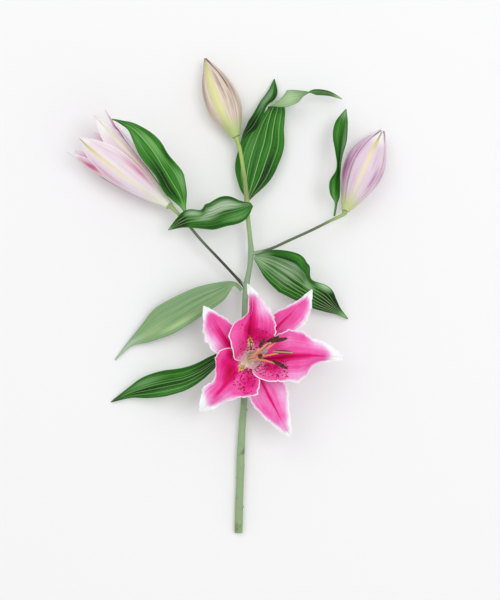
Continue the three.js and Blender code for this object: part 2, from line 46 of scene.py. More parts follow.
MM = 0.001  # sizes and places are in millimetres, and the scene is in metres
STEM_LIMBS = [
    {
        "route": [(9.4, -259.9, 4.5), (11, -201.6, 5.6), (12.7, -157.6, 7.6), (15.4, -113.6, 9.6),
            (16, -58.9, 12.5), (16, -24, 15), (17.7, 8.6, 18), (21.5, 30.3, 20), (23.1, 47.6, 21),
            (22, 62.8, 22.5), (19.3, 88.7, 24), (18.8, 100.5, 24.5), (17.1, 120, 24),
            (14.4, 139.5, 24), (11.2, 158, 23), (7.2, 172.2, 21.7)],
        "radii": [4.5, 4.3, 4.1, 3.5, 3.1, 3.1, 3.4, 2.9, 3.2, 2.6, 2.5, 3.1, 2.3, 2.2, 2.2, 3.4],
        "rows": 420, "sides": 28, "scarred": True,
    },
    {
        "route": [(17.7, 8.6, 18), (5.7, 21.6, 21), (-10.5, 38.9, 24), (-30.9, 60.4, 27),
            (-48.1, 80.8, 29), (-61.3, 94.6, 29.5), (-65.3, 98, 29.5)],
        "radii": [2.2, 1.7, 1.6, 1.6, 1.8, 2.6, 5.2], "rows": 120, "sides": 20,
    },
    {
        "route": [(23.1, 45.5, 21), (43.6, 50.8, 24), (65.2, 60.4, 26), (88.9, 71.2, 27),
            (109, 81.3, 26.2), (123.1, 88.2, 24.1), (124.8, 91.9, 23.8)],
        "radii": [2.2, 1.7, 1.6, 1.6, 1.7, 2.2, 3.6], "rows": 120, "sides": 20,
    },
    {
        "route": [(15.6, -96, 10.8), (15.9, -84, 14), (16.8, -74.5, 19), (19.6, -68.6, 26),
            (21, -67.3, 31.2), (22, -67, 34)],
        "radii": [2.4, 2.4, 2.4, 2.8, 7.6, 9.2], "rows": 60, "sides": 28, "up": (1, 0, 0),
    },
]
MAIN_LENGTH = 445
UNEVENNESS = 0.1
LUMP_HEIGHT = 0.85
SCARRED_SHARE = 0.42  # how far up the main stem its skin is lumpy
SCARS = 22
FIRST_SCAR = 6  # from the cut end
SCAR_STEP = 8.5
SCAR_TURN = math.radians(137.5)
SCAR_REACH = 0.86  # where a scar's middle lies, as a share of the stem's radius
SCAR_HALF_WIDTH = 3
SCAR_DEPTH = 1.15
SKIN_GRAIN = 0.55


def through(values, share):
    """The value at share (0 to 1) of a smooth curve through evenly spaced numbers or points."""
    place = share * (len(values) - 1)
    i = min(int(place), len(values) - 2)
    f = place - i
    b, c = values[i], values[i + 1]
    a = values[i - 1] if i > 0 else 2 * b - c
    d = values[i + 2] if i + 2 < len(values) else 2 * c - b
    return 0.5 * (2 * b + (c - a) * f + (2 * a - 5 * b + 4 * c - d) * f ** 2
                  + (3 * b - a - 3 * c + d) * f ** 3)


def heading(points, share):
    """The direction in which a curve through points runs at share."""
    step = 0.001
    ahead, behind = min(share + step, 1), max(share - step, 0)
    return (through(points, ahead) - through(points, behind)).normalized()


def smooth_step(low, high, value):
    f = min(max((value - low) / (high - low), 0), 1)
    return f * f * (3 - 2 * f)


def wobble(x, y, z):
    """A smooth unevenness at one place, up to about 1 either way."""
    return noise.noise(Vector((x, y, z)))


def bend_to_tube(bm, route, radius, rows, sides, up=(0, 0, 1)):
    """Rolls a grid round a route into a closed tube; radius(share, turn) is in millimetres."""
    points = [Vector(p) for p in route]
    sheet = bmesh.ops.create_grid(bm, x_segments=sides, y_segments=rows, size=0.5)["verts"]
    frames = {}
    for vert in sheet:
        share = min(max(vert.co.y + 0.5, 0), 1)
        turn = 2 * math.pi * (vert.co.x + 0.5)
        key = round(share, 6)
        if key not in frames:
            forward = heading(points, share)
            outward = (Vector(up) - Vector(up).dot(forward) * forward).normalized()
            frames[key] = through(points, share), outward, forward.cross(outward)
        centre, outward, sideways = frames[key]
        reach = radius(share, turn)
        vert.co = (centre + reach * (math.cos(turn) * outward + math.sin(turn) * sideways)) * MM
    bmesh.ops.remove_doubles(bm, verts=sheet, dist=1e-7)
    bmesh.ops.holes_fill(bm, edges=[edge for edge in bm.edges if edge.is_boundary])
    bmesh.ops.recalc_face_normals(bm, faces=bm.faces[:])


def put_in_scene(name, data):
    thing = bpy.data.objects.new(name, data)
    bpy.context.scene.collection.objects.link(thing)
    return thing


def make_piece(name, bm, slot, *nodes):
    """Turns a bmesh into a smooth piece that rides on the stem and stands for the named solids."""
    mesh = bpy.data.meshes.new(name)
    bm.to_mesh(mesh)
    bm.free()
    mesh.shade_smooth()
    piece = put_in_scene(name, mesh)
    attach(piece, "root")
    if nodes:
        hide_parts(*nodes)
    return piece


def limb_radius(limb):
    def radius(share, turn):
        reach = through(limb["radii"], share)
        if limb.get("scarred") and share < SCARRED_SHARE:
            lump = wobble(share * 26, math.cos(turn) * 0.6, math.sin(turn) * 0.6)
            reach += math.sin(math.pi * (share / SCARRED_SHARE)) * LUMP_HEIGHT * lump
        return reach + UNEVENNESS * wobble(share * 90, math.cos(turn), math.sin(turn))
    return radius


stem_bm = bmesh.new()
for limb in STEM_LIMBS:
    bend_to_tube(stem_bm, limb["route"], limb_radius(limb), limb["rows"], limb["sides"],
                 limb.get("up", (0, 0, 1)))
main_route = [Vector(p) for p in STEM_LIMBS[0]["route"]]
for k in range(SCARS):
    # A scar is a low crescent shelf, wider than it is tall.
    share = (FIRST_SCAR + k * SCAR_STEP) / MAIN_LENGTH
    forward = heading(main_route, share)
    outward = Vector((0, 0, 1)).cross(forward).normalized()
    turn = k * SCAR_TURN
    outward = math.cos(turn) * outward + math.sin(turn) * forward.cross(outward)
    reach = through(STEM_LIMBS[0]["radii"], share)
    spot = through(main_route, share) + outward * reach * SCAR_REACH
    shelf = bmesh.ops.create_icosphere(stem_bm, subdivisions=2, radius=1)["verts"]
    across = forward.cross(outward)
    size = 1 + 0.35 * math.sin(k * 2.3)
    for vert in shelf:
        x, y, z = vert.co
        vert.co = (spot + across * x * SCAR_HALF_WIDTH * size + outward * y * SCAR_DEPTH * size
                   + forward * (z - 0.5 * x * x) * size) * MM
stem = make_piece("stem", stem_bm, "stem", "stem")
skin = stem.modifiers.new("skin", "REMESH")
skin.mode = "VOXEL"
skin.voxel_size = SKIN_GRAIN * MM
skin.use_smooth_shade = True
soften = stem.modifiers.new("soften", "SMOOTH")
soften.factor = 0.5
soften.iterations = 5


def paint(red, green, blue):
    """A colour given as 0 to 255, as it looks on a screen."""
    def linear(level):
        level /= 255
        return level / 12.92 if level <= 0.04045 else ((level + 0.055) / 1.055) ** 2.4
    return linear(red), linear(green), linear(blue), 1.0


def plug(tree, node, inputs):
    """Links each named input of a node to a socket, or sets it to a value."""
    for key, value in inputs.items():
        if isinstance(value, bpy.types.NodeSocket):
            tree.links.new(value, node.inputs[key])
        else:
            node.inputs[key].default_value = value
    return node


def add(tree, kind, inputs, **settings):
    """Adds one shader node, with its settings and then its inputs."""
    made = tree.nodes.new(kind)
    for key, value in settings.items():
        setattr(made, key, value)
    return plug(tree, made, inputs)


def calc(tree, operation, a, b=0.0, c=0.0):
    return add(tree, "ShaderNodeMath", {0: a, 1: b, 2: c}, operation=operation).outputs[0]


def times(tree, a, b):
    return calc(tree, "MULTIPLY", a, b)


def plus(tree, a, b):
    return calc(tree, "ADD", a, b)


def minus(tree, a, b):
    return calc(tree, "SUBTRACT", a, b)


def scaled(tree, value, factor, shift):
    return calc(tree, "MULTIPLY_ADD", value, factor, shift)


def pushed(tree, value, pattern, far):
    """The value, moved either way by a pattern that averages a half."""
    return scaled(tree, minus(tree, pattern, 0.5), far, value)


def ease(tree, value, low, high, to_low=0.0, to_high=1.0):
    """A smooth rise from to_low to to_high as value goes from low to high."""
    made = add(tree, "ShaderNodeMapRange", {"Value": value, "From Min": low, "From Max": high,
                                            "To Min": to_low, "To Max": to_high})
    made.interpolation_type = "SMOOTHSTEP"
    return made.outputs[0]


def blend(tree, share, first, second):
    return add(tree, "ShaderNodeMix", {0: share, 6: first, 7: second}, data_type="RGBA").outputs[2]


def shades(tree, value, stops):
    """A colour ramp with (place, red, green, blue) stops."""
    made = add(tree, "ShaderNodeValToRGB", {0: value})
    ramp = made.color_ramp
    for k, (place, *colour) in enumerate(stops):
        stop = ramp.elements[k] if k < 2 else ramp.elements.new(place)
        stop.position = place
        stop.color = paint(*colour)
    return made.outputs[0]


def grain(tree, vector, scale, detail=3.0):
    return add(tree, "ShaderNodeTexNoise",
               {"Vector": vector, "Scale": scale, "Detail": detail, "Roughness": 0.55}).outputs[0]


def stretched(tree, vector, scale):
    return add(tree, "ShaderNodeMapping", {"Vector": vector, "Scale": scale}).outputs[0]


def object_place(tree):
    return add(tree, "ShaderNodeTexCoord", {}).outputs["Object"]


def apart(tree, vector):
    """The x, y and z of a vector."""
    return add(tree, "ShaderNodeSeparateXYZ", {0: vector}).outputs


def new_finish(name, coat, *details):
    """A material; coat(tree, *details) lays out its nodes and returns what its shader gets."""
    material = bpy.data.materials.new(name)
    material.use_nodes = True
    tree = material.node_tree
    plug(tree, tree.nodes["Principled BSDF"], coat(tree, *details))
    return material


def bump(tree, height, strength, distance):
    inputs = {"Height": height, "Strength": strength, "Distance": distance}
    return add(tree, "ShaderNodeBump", inputs).outputs[0]


def stem_skin(tree):
    place = object_place(tree)
    x, y, z = apart(tree, place)
    lengthwise = grain(tree, stretched(tree, place, (1.0, 0.12, 1.0)), 900.0, 4.0)
    blotch = grain(tree, place, 60.0)
    # From the bleached lower end up to the yellow-green top.
    height = ease(tree, y, -0.26, 0.18)
    height.node.interpolation_type = "LINEAR"
    colour = shades(tree, height, [
        (0.0, 150, 172, 128), (1.0, 172, 198, 104), (0.36, 152, 184, 138), (0.46, 146, 174, 142),
        (0.7, 142, 170, 134), (0.83, 164, 196, 112),
    ])
    # The side stalks are dusky, and the left one is almost black at its foot.
    left_of_stem = ease(tree, minus(tree, scaled(tree, y, -0.4, 0.02), x), 0.0, 0.002)
    off_left = times(tree, left_of_stem, ease(tree, y, 0.006, 0.011))
    dusky = calc(tree, "MAXIMUM", off_left, ease(tree, x, 0.032, 0.04))
    far = calc(tree, "MAXIMUM", ease(tree, x, -0.036, -0.058), ease(tree, x, 0.094, 0.122))
    stalk = blend(tree, far, paint(92, 104, 76), paint(164, 190, 118))
    dark = times(tree, times(tree, ease(tree, x, -0.036, -0.008), off_left), 0.96)
    colour = blend(tree, dusky, colour, blend(tree, dark, stalk, paint(26, 26, 18)))
    # A reddish streak runs up the front of the top stalk.
    streak = times(tree, ease(tree, y, 0.098, 0.108), ease(tree, y, 0.15, 0.122))
    front = ease(tree, plus(tree, z, times(tree, lengthwise, 0.004)), 0.0262, 0.0285)
    colour = blend(tree, times(tree, times(tree, streak, front), 0.5), colour, paint(116, 78, 58))
    # Brown scars and lumps low down.
    scar = times(tree, ease(tree, y, -0.07, -0.13), ease(tree, blotch, 0.56, 0.7))
    colour = blend(tree, times(tree, scar, 0.7), colour, paint(96, 106, 76))
    colour = blend(tree, times(tree, lengthwise, 0.3), colour, paint(92, 122, 74))
    # The receptacle is pale where the petals leave it, and the cut end shows its pith.
    seat = times(tree, ease(tree, z, 0.029, 0.0325), ease(tree, y, -0.045, -0.052))
    colour = blend(tree, seat, colour, paint(255, 240, 224))
    pith = blend(tree, grain(tree, place, 700.0), paint(196, 204, 150), paint(228, 230, 196))
    colour = blend(tree, ease(tree, y, -0.25925, -0.2596), colour, pith)
    relief = plus(tree, times(tree, lengthwise, 0.7), times(tree, blotch, 0.3))
    return {"Base Color": colour, "Roughness": scaled(tree, lengthwise, 0.25, 0.36),
            "Normal": bump(tree, relief, 0.35, 0.0004), "Subsurface Weight": 0.06,
            "Subsurface Scale": 0.002}


stem.data.materials.append(new_finish("stem_skin", stem_skin))


# ---- leaves ----
# Thin lance-shaped blades with veins that run from base to tip: satin dark green above, matt and
# paler below. Each clasps the stem or a stalk at its base, and they twist and fold as they wilt.

LEAF_THICKNESS = 0.55
LEAF_ROWS = 96
LEAF_COLUMNS = 64
LEAST_HALF_WIDTH = 0.4
# Lists run from base to tip: the midrib, the half width and the fold, in degrees, on each side, and
# the way that the blade faces where it twists. Each blade also has its general tone (0 dark to 1
# light), its pale lines as (place across, how clear), and soft patches as (share, across, length,
# width, lighter by, more painted sheen by). The lighter and darker patches are partly the leaf's
# own colour and partly painted light and shade, where the blade folds towards or away from the
# light;
# the painted sheen is the grey-green reflection of the bright room, painted into the colour.
LEAVES = {
    "leaf_left_lower": {
        "midrib": [(12.2, -57.5, 14), (0.3, -60.9, 18.5), (-15.9, -71.5, 24), (-32, -82.2, 26),
            (-49.3, -89.8, 26), (-69, -94.3, 23), (-90.1, -99.6, 16), (-109.2, -106.1, 9),
            (-130.6, -116.4, 3)],
        "left": [1.6, 2.5, 5, 8.5, 12.5, 15, 12, 5.6, 0.5],
        "right": [1.6, 4.3, 8, 11, 13.5, 15, 12.5, 6, 0.5],
        "fold_left": [20, 20, 18, 18, 20, 22, 20, 10, 0],
        "fold_right": [20, 20, 18, 18, 20, 22, 20, 10, 0], "ripples": 2, "tone": 0.4,
        "lines": [(-0.03, 0.5), (-0.22, 0.3), (0.28, 0.4), (0.62, 0.35), (-0.6, 0.25)],
        "patches": [(0.76, -0.5, 0.2, 0.5, 0.24, 0.3), (0.82, 0.25, 0.24, 0.28, -0.42, 0),
            (0.3, 0, 0.17, 1.6, -0.2, 0), (0.55, 0.16, 0.3, 0.2, -0.22, 0),
            (0.6, 0.7, 0.18, 0.3, 0.16, 0.1), (0.5, -0.4, 0.15, 0.4, 0.08, 0),
            (0.97, 0, 0.06, 2, -0.3, 0)],
    },
    "leaf_left_middle": {
        "midrib": [(12.9, 6.6, 18.6), (3.6, 13.2, 22), (-12.6, 5.3, 26), (-32, -4.4, 28),
            (-53.7, -17.4, 25), (-73.6, -29.4, 18), (-91.6, -41.5, 10), (-109.6, -52.6, 5),
            (-126.3, -70.3, 2)],
        "left": [1.7, 2.7, 12.2, 15.8, 17, 16, 10, 3.2, 0.5],
        "right": [1.7, 2.7, 10, 14.8, 17.6, 18, 11.2, 3.2, 0.5],
        "fold_left": [10, 10, -8, -14, -14, -12, -8, 0, 0],
        "fold_right": [10, 10, -8, -14, -14, -12, -8, 0, 0], "ripples": 2, "turned_over": True,
        "tone": 0.45, "lines": [(0, 0.3), (-0.32, 0.25), (0.35, 0.3), (0.68, 0.3), (-0.7, 0.2)],
        "patches": [(0.42, -0.58, 0.3, 0.25, -0.3, 0.3), (0.35, -0.15, 0.25, 0.2, -0.2, 0.1),
            (0.55, 0.62, 0.2, 0.3, 0.4, -0.2), (0.72, 0.2, 0.2, 0.7, 0.2, 0),
            (0.86, -0.6, 0.1, 0.7, -0.3, 0.3), (0.92, 0, 0.18, 2, 0.15, 1.5),
            (0.2, -0.2, 0.1, 1.2, -0.15, 0.1)],
    },
    "leaf_right_middle": {
        "midrib": [(27, 42.3, 22), (43.5, 34.4, 29), (61.7, 23.5, 34), (70.3, 17.1, 35),
            (83.3, 8.5, 33), (99.9, -2.2, 26), (110, -9.8, 19), (119.1, -16.9, 12),
            (129.4, -25.2, 6)],
        "left": [2.2, 17.5, 27, 25, 12.5, 14, 8.5, 3.6, 0.5],
        "right": [2.2, 15.5, 21.5, 20.5, 18.5, 15, 10, 4.3, 0.5],
        "fold_left": [20, 22, 27, 28, -30, 8, 5, 0, 0],
        "fold_right": [-10, -14, -18, -18, -18, -14, -8, 0, 0], "ripple": 0.6, "tone": 0.38,
        "lines": [(0.04, 0.6), (-0.2, 0.55), (-0.4, 0.5), (-0.6, 0.55), (-0.8, 0.4), (0.26, 0.45),
            (0.52, 0.3)],
        "patches": [(0.27, 0.3, 0.26, 0.42, 0.14, 0.85), (0.04, 0.1, 0.12, 1.4, 0.1, 0.8),
            (0.3, 0.86, 0.22, 0.26, 0.3, -0.2), (0.2, 0.62, 0.2, 0.14, -0.28, -0.2),
            (0.25, -0.2, 0.25, 0.6, 0.1, 0.4), (0.22, -0.68, 0.2, 0.14, 0.16, 0),
            (0.32, -0.1, 0.2, 0.1, -0.2, -0.2), (0.3, -0.5, 0.24, 0.09, -0.22, -0.1),
            (0.36, 0.9, 0.12, 0.12, -0.2, 0), (0.5, 0.25, 0.07, 0.5, 0.15, 0.6),
            (0.74, 0, 0.22, 1.5, -0.62, 0), (0.6, 0.82, 0.08, 0.35, 0.55, 0.9),
            (0.95, 0, 0.1, 1.6, 0.45, 0.3)],
    },
    "leaf_top_left": {
        "midrib": [(23.8, 99.2, 26.6), (11.3, 92, 33), (-4.7, 86.4, 42), (-18.5, 82, 44),
            (-29.2, 79.9, 43.5), (-42.2, 78, 41), (-52, 75.5, 37), (-66.2, 70.9, 32)],
        "left": [3, 12, 13, 12.5, 10, 5.5, 2.6, 0.5],
        "right": [1.6, 12.5, 22, 19, 13, 14.5, 10, 0.5],
        "fold_left": [2, -8, -28, -30, -30, -25, -10, 0],
        "fold_right": [10, 20, 30, 30, -20, 10, 5, 0], "ripple": 0.5, "tone": 0.42,
        "lines": [(-0.1, 0.35), (-0.34, 0.5), (-0.6, 0.45), (0.25, 0.14), (0.55, 0.12)],
        "patches": [(0.3, -0.52, 0.28, 0.46, 0.25, 1.5), (0.5, -0.2, 0.22, 0.4, 0.1, 0.9),
            (0.28, -0.22, 0.16, 0.1, -0.25, -0.3), (0.36, -0.5, 0.2, 0.07, -0.25, -0.3),
            (0.22, -0.92, 0.16, 0.16, -0.1, -0.5), (0.42, 0.7, 0.3, 0.4, -0.12, 0),
            (0.2, 0.4, 0.2, 0.5, 0.22, 0.2), (0.66, -0.7, 0.14, 0.35, 0.1, 0.9),
            (0.84, -0.1, 0.16, 1.2, -0.55, 0), (0.05, -0.4, 0.08, 0.6, -0.2, 0.2),
            (0.99, 0, 0.05, 2, 0.2, 0.4)],
    },
    "leaf_top_large": {
        "midrib": [(20, 104, 20), (22, 115.3, 14), (26.4, 132, 10.5), (30.7, 148.7, 8),
            (36.2, 167.5, 7), (40.6, 187.2, 7.5), (44.9, 201.8, 10), (51.3, 210.6, 19),
            (60.9, 214, 27), (70.6, 215.5, 29), (80.4, 218.3, 28), (93.5, 221, 24),
            (107.8, 220, 19), (122.3, 214.7, 14)],
        "left": [1.6, 12, 21.5, 23.8, 22.2, 14, 4.6, 10.5, 11.5, 8, 4, 3.8, 2.6, 0.5],
        "right": [1.6, 10, 19.3, 23.2, 23.8, 19.3, 16.5, 12.5, 10, 7, 4, 4.6, 3, 0.5],
        "fold_left": [10, 8, 6, 8, 4, -6, -4, 8, 5, 0, 0, 0, 0, 0],
        "fold_right": [10, 10, 10, 10, 8, 8, 8, 10, 5, 0, 0, 0, 0, 0],
        "face": [(0, 0, 1)] * 6 + [(0.2, -0.1, 1), (0.81, -0.59, 0.1), (0.1, -0.5, -1), (0, 0, -1),
            (0, 0.8, -0.6), (0, 0.6, 0.8), (0, 0.2, 1), (0, 0, 1)],
        "ripple": 0.7, "rows": 150, "tone": 0.5,
        "lines": [(0.36, 0.75), (-0.04, 0.8), (-0.38, 0.7), (-0.72, 0.35), (0.68, 0.3)],
        "patches": [(0.14, -0.6, 0.2, 0.6, -0.34, 0), (0.3, 0.45, 0.24, 0.5, 0.1, 0.05),
            (0.42, -0.7, 0.14, 0.4, 0.12, 0), (0.2, 0.12, 0.2, 0.12, -0.2, 0),
            (0.3, -0.55, 0.36, 0.16, -0.14, 0), (0.03, 0, 0.08, 2, -0.2, 0.1),
            (0.64, 0, 0.12, 1.5, 0.26, 0.6), (0.9, 0, 0.13, 2, -0.3, 0), (1, 0, 0.07, 2, 0.5, 0.7)],
    },
    "leaf_top_small": {
        "midrib": [(12.5, 163.8, 24.9), (17.5, 175, 23), (25, 184, 20), (31, 194.5, 17),
            (38.1, 209, 10.5), (46, 222, 5.5), (48.8, 238, 4)],
        "left": [1.1, 4, 8, 8, 7, 5.5, 0.5], "right": [1.1, 3, 5.6, 4.5, 3, 6, 0.5],
        "fold_left": [20, 30, 35, 40, 40, 20, 0], "fold_right": [20, 25, 20, 10, 0, 0, 0],
        "ripple": 0.4, "tone": 0.36, "lines": [(0, 0.5), (0.5, 0.2)],
        "patches": [(0.3, 0, 0.3, 1.8, -0.36, 0), (0.74, 0.4, 0.26, 0.8, 0.18, 0.7),
            (0.75, -0.7, 0.25, 0.3, -0.2, -0.2)],
    },
    "leaf_by_left_bud": {
        "midrib": [(-43.3, 78.7, 30.7), (-48.4, 93.4, 35), (-54.1, 106.8, 42), (-60.9, 117.8, 50),
            (-67.9, 129.9, 57), (-75, 142.1, 61.5), (-83.3, 154.5, 64), (-92.6, 165.9, 65),
            (-103.2, 176.5, 64), (-113.9, 182.6, 62), (-123.7, 186.7, 59)],
        "left": [1.1, 2.5, 8.6, 11.4, 10.4, 12.2, 13.2, 9.6, 4, 1.7, 0.4],
        "right": [1.1, 2, 10.5, 18, 17.8, 14.8, 14.4, 11.6, 6.4, 2.5, 0.4],
        "fold_left": [0, 10, 10, 10, 10, 8, 8, 8, 5, 0, 0],
        "fold_right": [0, -5, -15, -25, -30, -28, -20, -12, -5, 0, 0], "ripple": 0.6, "tone": 0.52,
        "lines": [(-0.1, 0.8), (0.45, 0.2), (-0.55, 0.3)],
        "patches": [(0.38, 0.5, 0.24, 0.6, -0.46, 0), (0.22, 0.4, 0.14, 0.5, -0.2, 0),
            (0.62, -0.34, 0.24, 0.34, 0.3, 0.12), (0.28, -0.7, 0.16, 0.4, 0.25, 0.2),
            (0.1, 0, 0.09, 1.8, 0.42, -0.1), (0.72, 0.5, 0.14, 0.4, 0.12, 0.1),
            (0.92, 0, 0.1, 1.6, -0.28, 0), (0.5, -0.85, 0.12, 0.25, -0.25, 0),
            (0.7, -0.75, 0.12, 0.2, -0.12, 0)],
    },
    "leaf_by_right_bud": {
        "midrib": [(113, 86.2, 27.4), (114.9, 100.1, 30), (116.1, 109.7, 32), (116.6, 123.6, 33),
            (117, 137.5, 33), (118.4, 151.6, 32), (120.1, 168, 30), (122.4, 184.6, 27),
            (125.9, 202.4, 23)],
        "left": [1.1, 1.8, 9.5, 12, 7, 8, 12.5, 9.8, 0.5],
        "right": [1.1, 1.8, 5, 6, 6, 7, 8, 6, 0.5],
        "fold_left": [10, 20, 35, 40, 76, 54, 40, 26, 0],
        "fold_right": [10, 50, 60, 70, 72, 60, 45, 35, 0], "ripple": 0.3, "tone": 0.44,
        "lines": [(0, 0.2), (0.45, 0.2)],
        "patches": [(0.3, 0.55, 0.2, 0.45, 0.2, 0), (0.8, 0.55, 0.16, 0.4, 0.18, 0),
            (0.55, 0, 0.5, 0.24, -0.32, 0), (0.7, -0.6, 0.3, 0.5, 0.05, 0.6),
            (0.12, 0.3, 0.22, 1.4, 0.28, 0.1), (0.97, 0, 0.08, 2, 0.1, 0.4)],
    },
}


def blade_station(plan, share):
    """The middle of a blade at share, the way it faces there, and its left-hand direction."""
    known = plan.setdefault("known", {})
    key = round(share, 6)
    if key not in known:
        midrib = [Vector(p) for p in plan["midrib"]]
        forward = heading(midrib, share)
        facing = Vector((0, 0, 1))
        if "face" in plan:
            facing = through([Vector(p) for p in plan["face"]], share)
        facing = (facing - facing.dot(forward) * forward).normalized()
        known[key] = through(midrib, share), facing, facing.cross(forward)
    return known[key]


def half_width(plan, share, across):
    return max(through(plan["left" if across > 0 else "right"], share), LEAST_HALF_WIDTH)


def on_side(plan, key, across):
    return plan[key + ("_left" if across > 0 else "_right")]


def blade_point(plan, share, across, relief):
    """A point of a blade: share runs from base to tip, across from -1 at the right margin to 1."""
    centre, facing, leftward = blade_station(plan, share)
    away = abs(across)
    reach = away * half_width(plan, share, across)
    if "ragged" in plan:
        teeth = wobble(share * 19, plan["root"][0], across) + 0.6 * wobble(share * 47, 3, across)
        reach *= 1 + plan["ragged"] * teeth * away ** 4 * smooth_step(0.3, 0.5, share)
    lean = math.radians(through(on_side(plan, "fold", across), share) + plan.get("curl", 0) * away)
    phase = 0 if across > 0 else 2
    lift = plan.get("ripple", 1) * math.sin(2 * math.pi * plan.get("ripples", 3) * share + phase)
    lift *= across * across * math.sin(math.pi * share)
    lift += relief(plan, share, across)
    outward = reach * math.cos(lean) - lift * math.sin(lean)
    outward = math.copysign(outward, across) if away > 1e-6 else 0
    return centre + leftward * outward + facing * (reach * math.sin(lean) + lift * math.cos(lean))


def hump(off, crest, width):
    """How high a rounded ridge is at a distance off, as a share of its height at its crest."""
    return math.exp(-((off - crest) / width) ** 2)


def patch_sum(patches, share, across, which=4):
    """What a blade's soft patches add up to at one point of it."""
    total = 0
    for patch in patches:
        far = math.hypot((share - patch[0]) / patch[2], (across - patch[1]) / patch[3])
        total += patch[which] * smooth_step(1, 0, far)
    return total


def lay_sheet(rows, columns, width, point, tones):
    """Bends a grid into a sheet; width and point are functions of share and across.
    The sheet keeps its own UV map, its half width and how far each point is from the rim, both in
    millimetres, and the tones: more functions of share and across, each kept under its name."""
    bm = bmesh.new()
    uv = bm.loops.layers.uv.new("blade")
    tones = {"wide": width, **tones,
             "edge": lambda share, across: (1 - abs(across)) * width(share, across)}
    for name in tones:
        bm.verts.layers.float.new(name)
    layers = [(bm.verts.layers.float[name], tone) for name, tone in tones.items()]
    sheet = bmesh.ops.create_grid(bm, x_segments=columns, y_segments=rows, size=0.5)["verts"]
    for face in bm.faces:
        for loop in face.loops:
            loop[uv].uv = 0.5 - loop.vert.co.x, loop.vert.co.y + 0.5
    for vert in sheet:
        share = min(max(vert.co.y + 0.5, 0), 1)
        across = -2 * vert.co.x
        for layer, tone in layers:
            vert[layer] = tone(share, across)
        vert.co = point(share, across) * MM
    for side in bm.edges:
        side.smooth = not side.is_boundary
    return bm


def lay_blade(plan, rows, columns, relief, tones):
    return lay_sheet(rows, columns, lambda *place: half_width(plan, *place),
                     lambda *place: blade_point(plan, *place, relief), tones)


def thicken(piece, thickness, face, back):
    """Gives a blade its thickness, with one finish on its face and rim and another on its back."""
    piece.data.materials.append(face)
    piece.data.materials.append(back)
    wall = piece.modifiers.new("thickness", "SOLIDIFY")
    wall.thickness = thickness * MM
    wall.offset = 0
    wall.material_offset = 1


def leaf_relief(plan, share, across):
    """Furrows over the veins, and the blade swelling a little between them."""
    width = half_width(plan, share, across)
    fade = math.sin(math.pi * min(max(share, 0.02), 0.98)) ** 0.5
    lift = 0
    for place, clear in plan["lines"]:
        lift -= (0.25 + 0.35 * clear) * hump((across - place) * width, 0, 0.9)
    swell = wobble(share * 9, across * 2.2, plan["midrib"][0][0])
    return fade * (lift + 0.7 * swell * abs(across))


def attribute(tree, name):
    return add(tree, "ShaderNodeAttribute", {}, attribute_name=name).outputs["Fac"]


def new_group(name, sort_out):
    """A node group that puts out each value that sort_out(group) returns, under its name."""
    group = bpy.data.node_groups.new(name, "ShaderNodeTree")
    values = sort_out(group)
    for key in values:
        group.interface.new_socket(key, in_out="OUTPUT", socket_type="NodeSocketFloat")
    plug(group, group.nodes.new("NodeGroupOutput"), values)
    return group


def outputs_of(tree, group):
    return add(tree, "ShaderNodeGroup", {}, node_tree=group).outputs


def blade_uv(tree):
    return add(tree, "ShaderNodeUVMap", {}, uv_map="blade").outputs[0]


def leaf_skin(group):
    """Where a point of a blade lies, its fibres, netting and colour, and its painted light and
    sheen.
    """
    uv = blade_uv(group)
    across = scaled(group, apart(group, uv)[0], 2.0, -1.0)
    wander = scaled(group, grain(group, object_place(group), 60.0), 0.06, -0.03)
    streak = grain(group, stretched(group, uv, (22.0, 1.6, 1.0)), 1.0)
    fibre = grain(group, stretched(group, uv, (110.0, 5.0, 1.0)), 1.0, 4.0)
    cells = add(group, "ShaderNodeTexVoronoi",
                {"Vector": stretched(group, uv, (46.0, 30.0, 1.0)), "Scale": 1.0},
                feature="DISTANCE_TO_EDGE").outputs["Distance"]
    # The tone is the leaf's own green, with painted light and painted shade from its patches.
    tone = pushed(group, attribute(group, "tone"), streak, 0.8)
    tone = pushed(group, tone, fibre, 0.3)
    # A painted sheen: the grey reflection of the bright room, painted into the colour and broken by
    # the streaks.
    painted_sheen = times(group, attribute(group, "painted_sheen"), ease(group, streak, 0.36, 0.62, 0.3, 1.0))
    net = ease(group, cells, 0.09, 0.02)
    return {"Across": plus(group, across, wander), "Fibre": fibre, "Net": net, "Tone": tone,
            "Painted_Sheen": painted_sheen}


LEAF_SKIN = new_group("leaf_skin", leaf_skin)
LINE_WIDTH = 0.85  # half of a pale line, in millimetres
# How far the painted sheen may cover the leaf's colour, at most.
MOST_PAINTED_SHEEN = 0.9


def pale_lines(tree, across, lines):
    """How near a point is to the thin pale veins, which run close together at the blade's ends."""
    wide = attribute(tree, "wide")
    thin = calc(tree, "MINIMUM", LINE_WIDTH, times(tree, wide, 0.075))
    near = 0.0
    for place, clear in lines:
        off = times(tree, calc(tree, "ABSOLUTE", minus(tree, across, place)), wide)
        line = ease(tree, calc(tree, "DIVIDE", off, thin), 1.0, 0.15, 0.0, clear)
        near = calc(tree, "MAXIMUM", near, line)
    return near


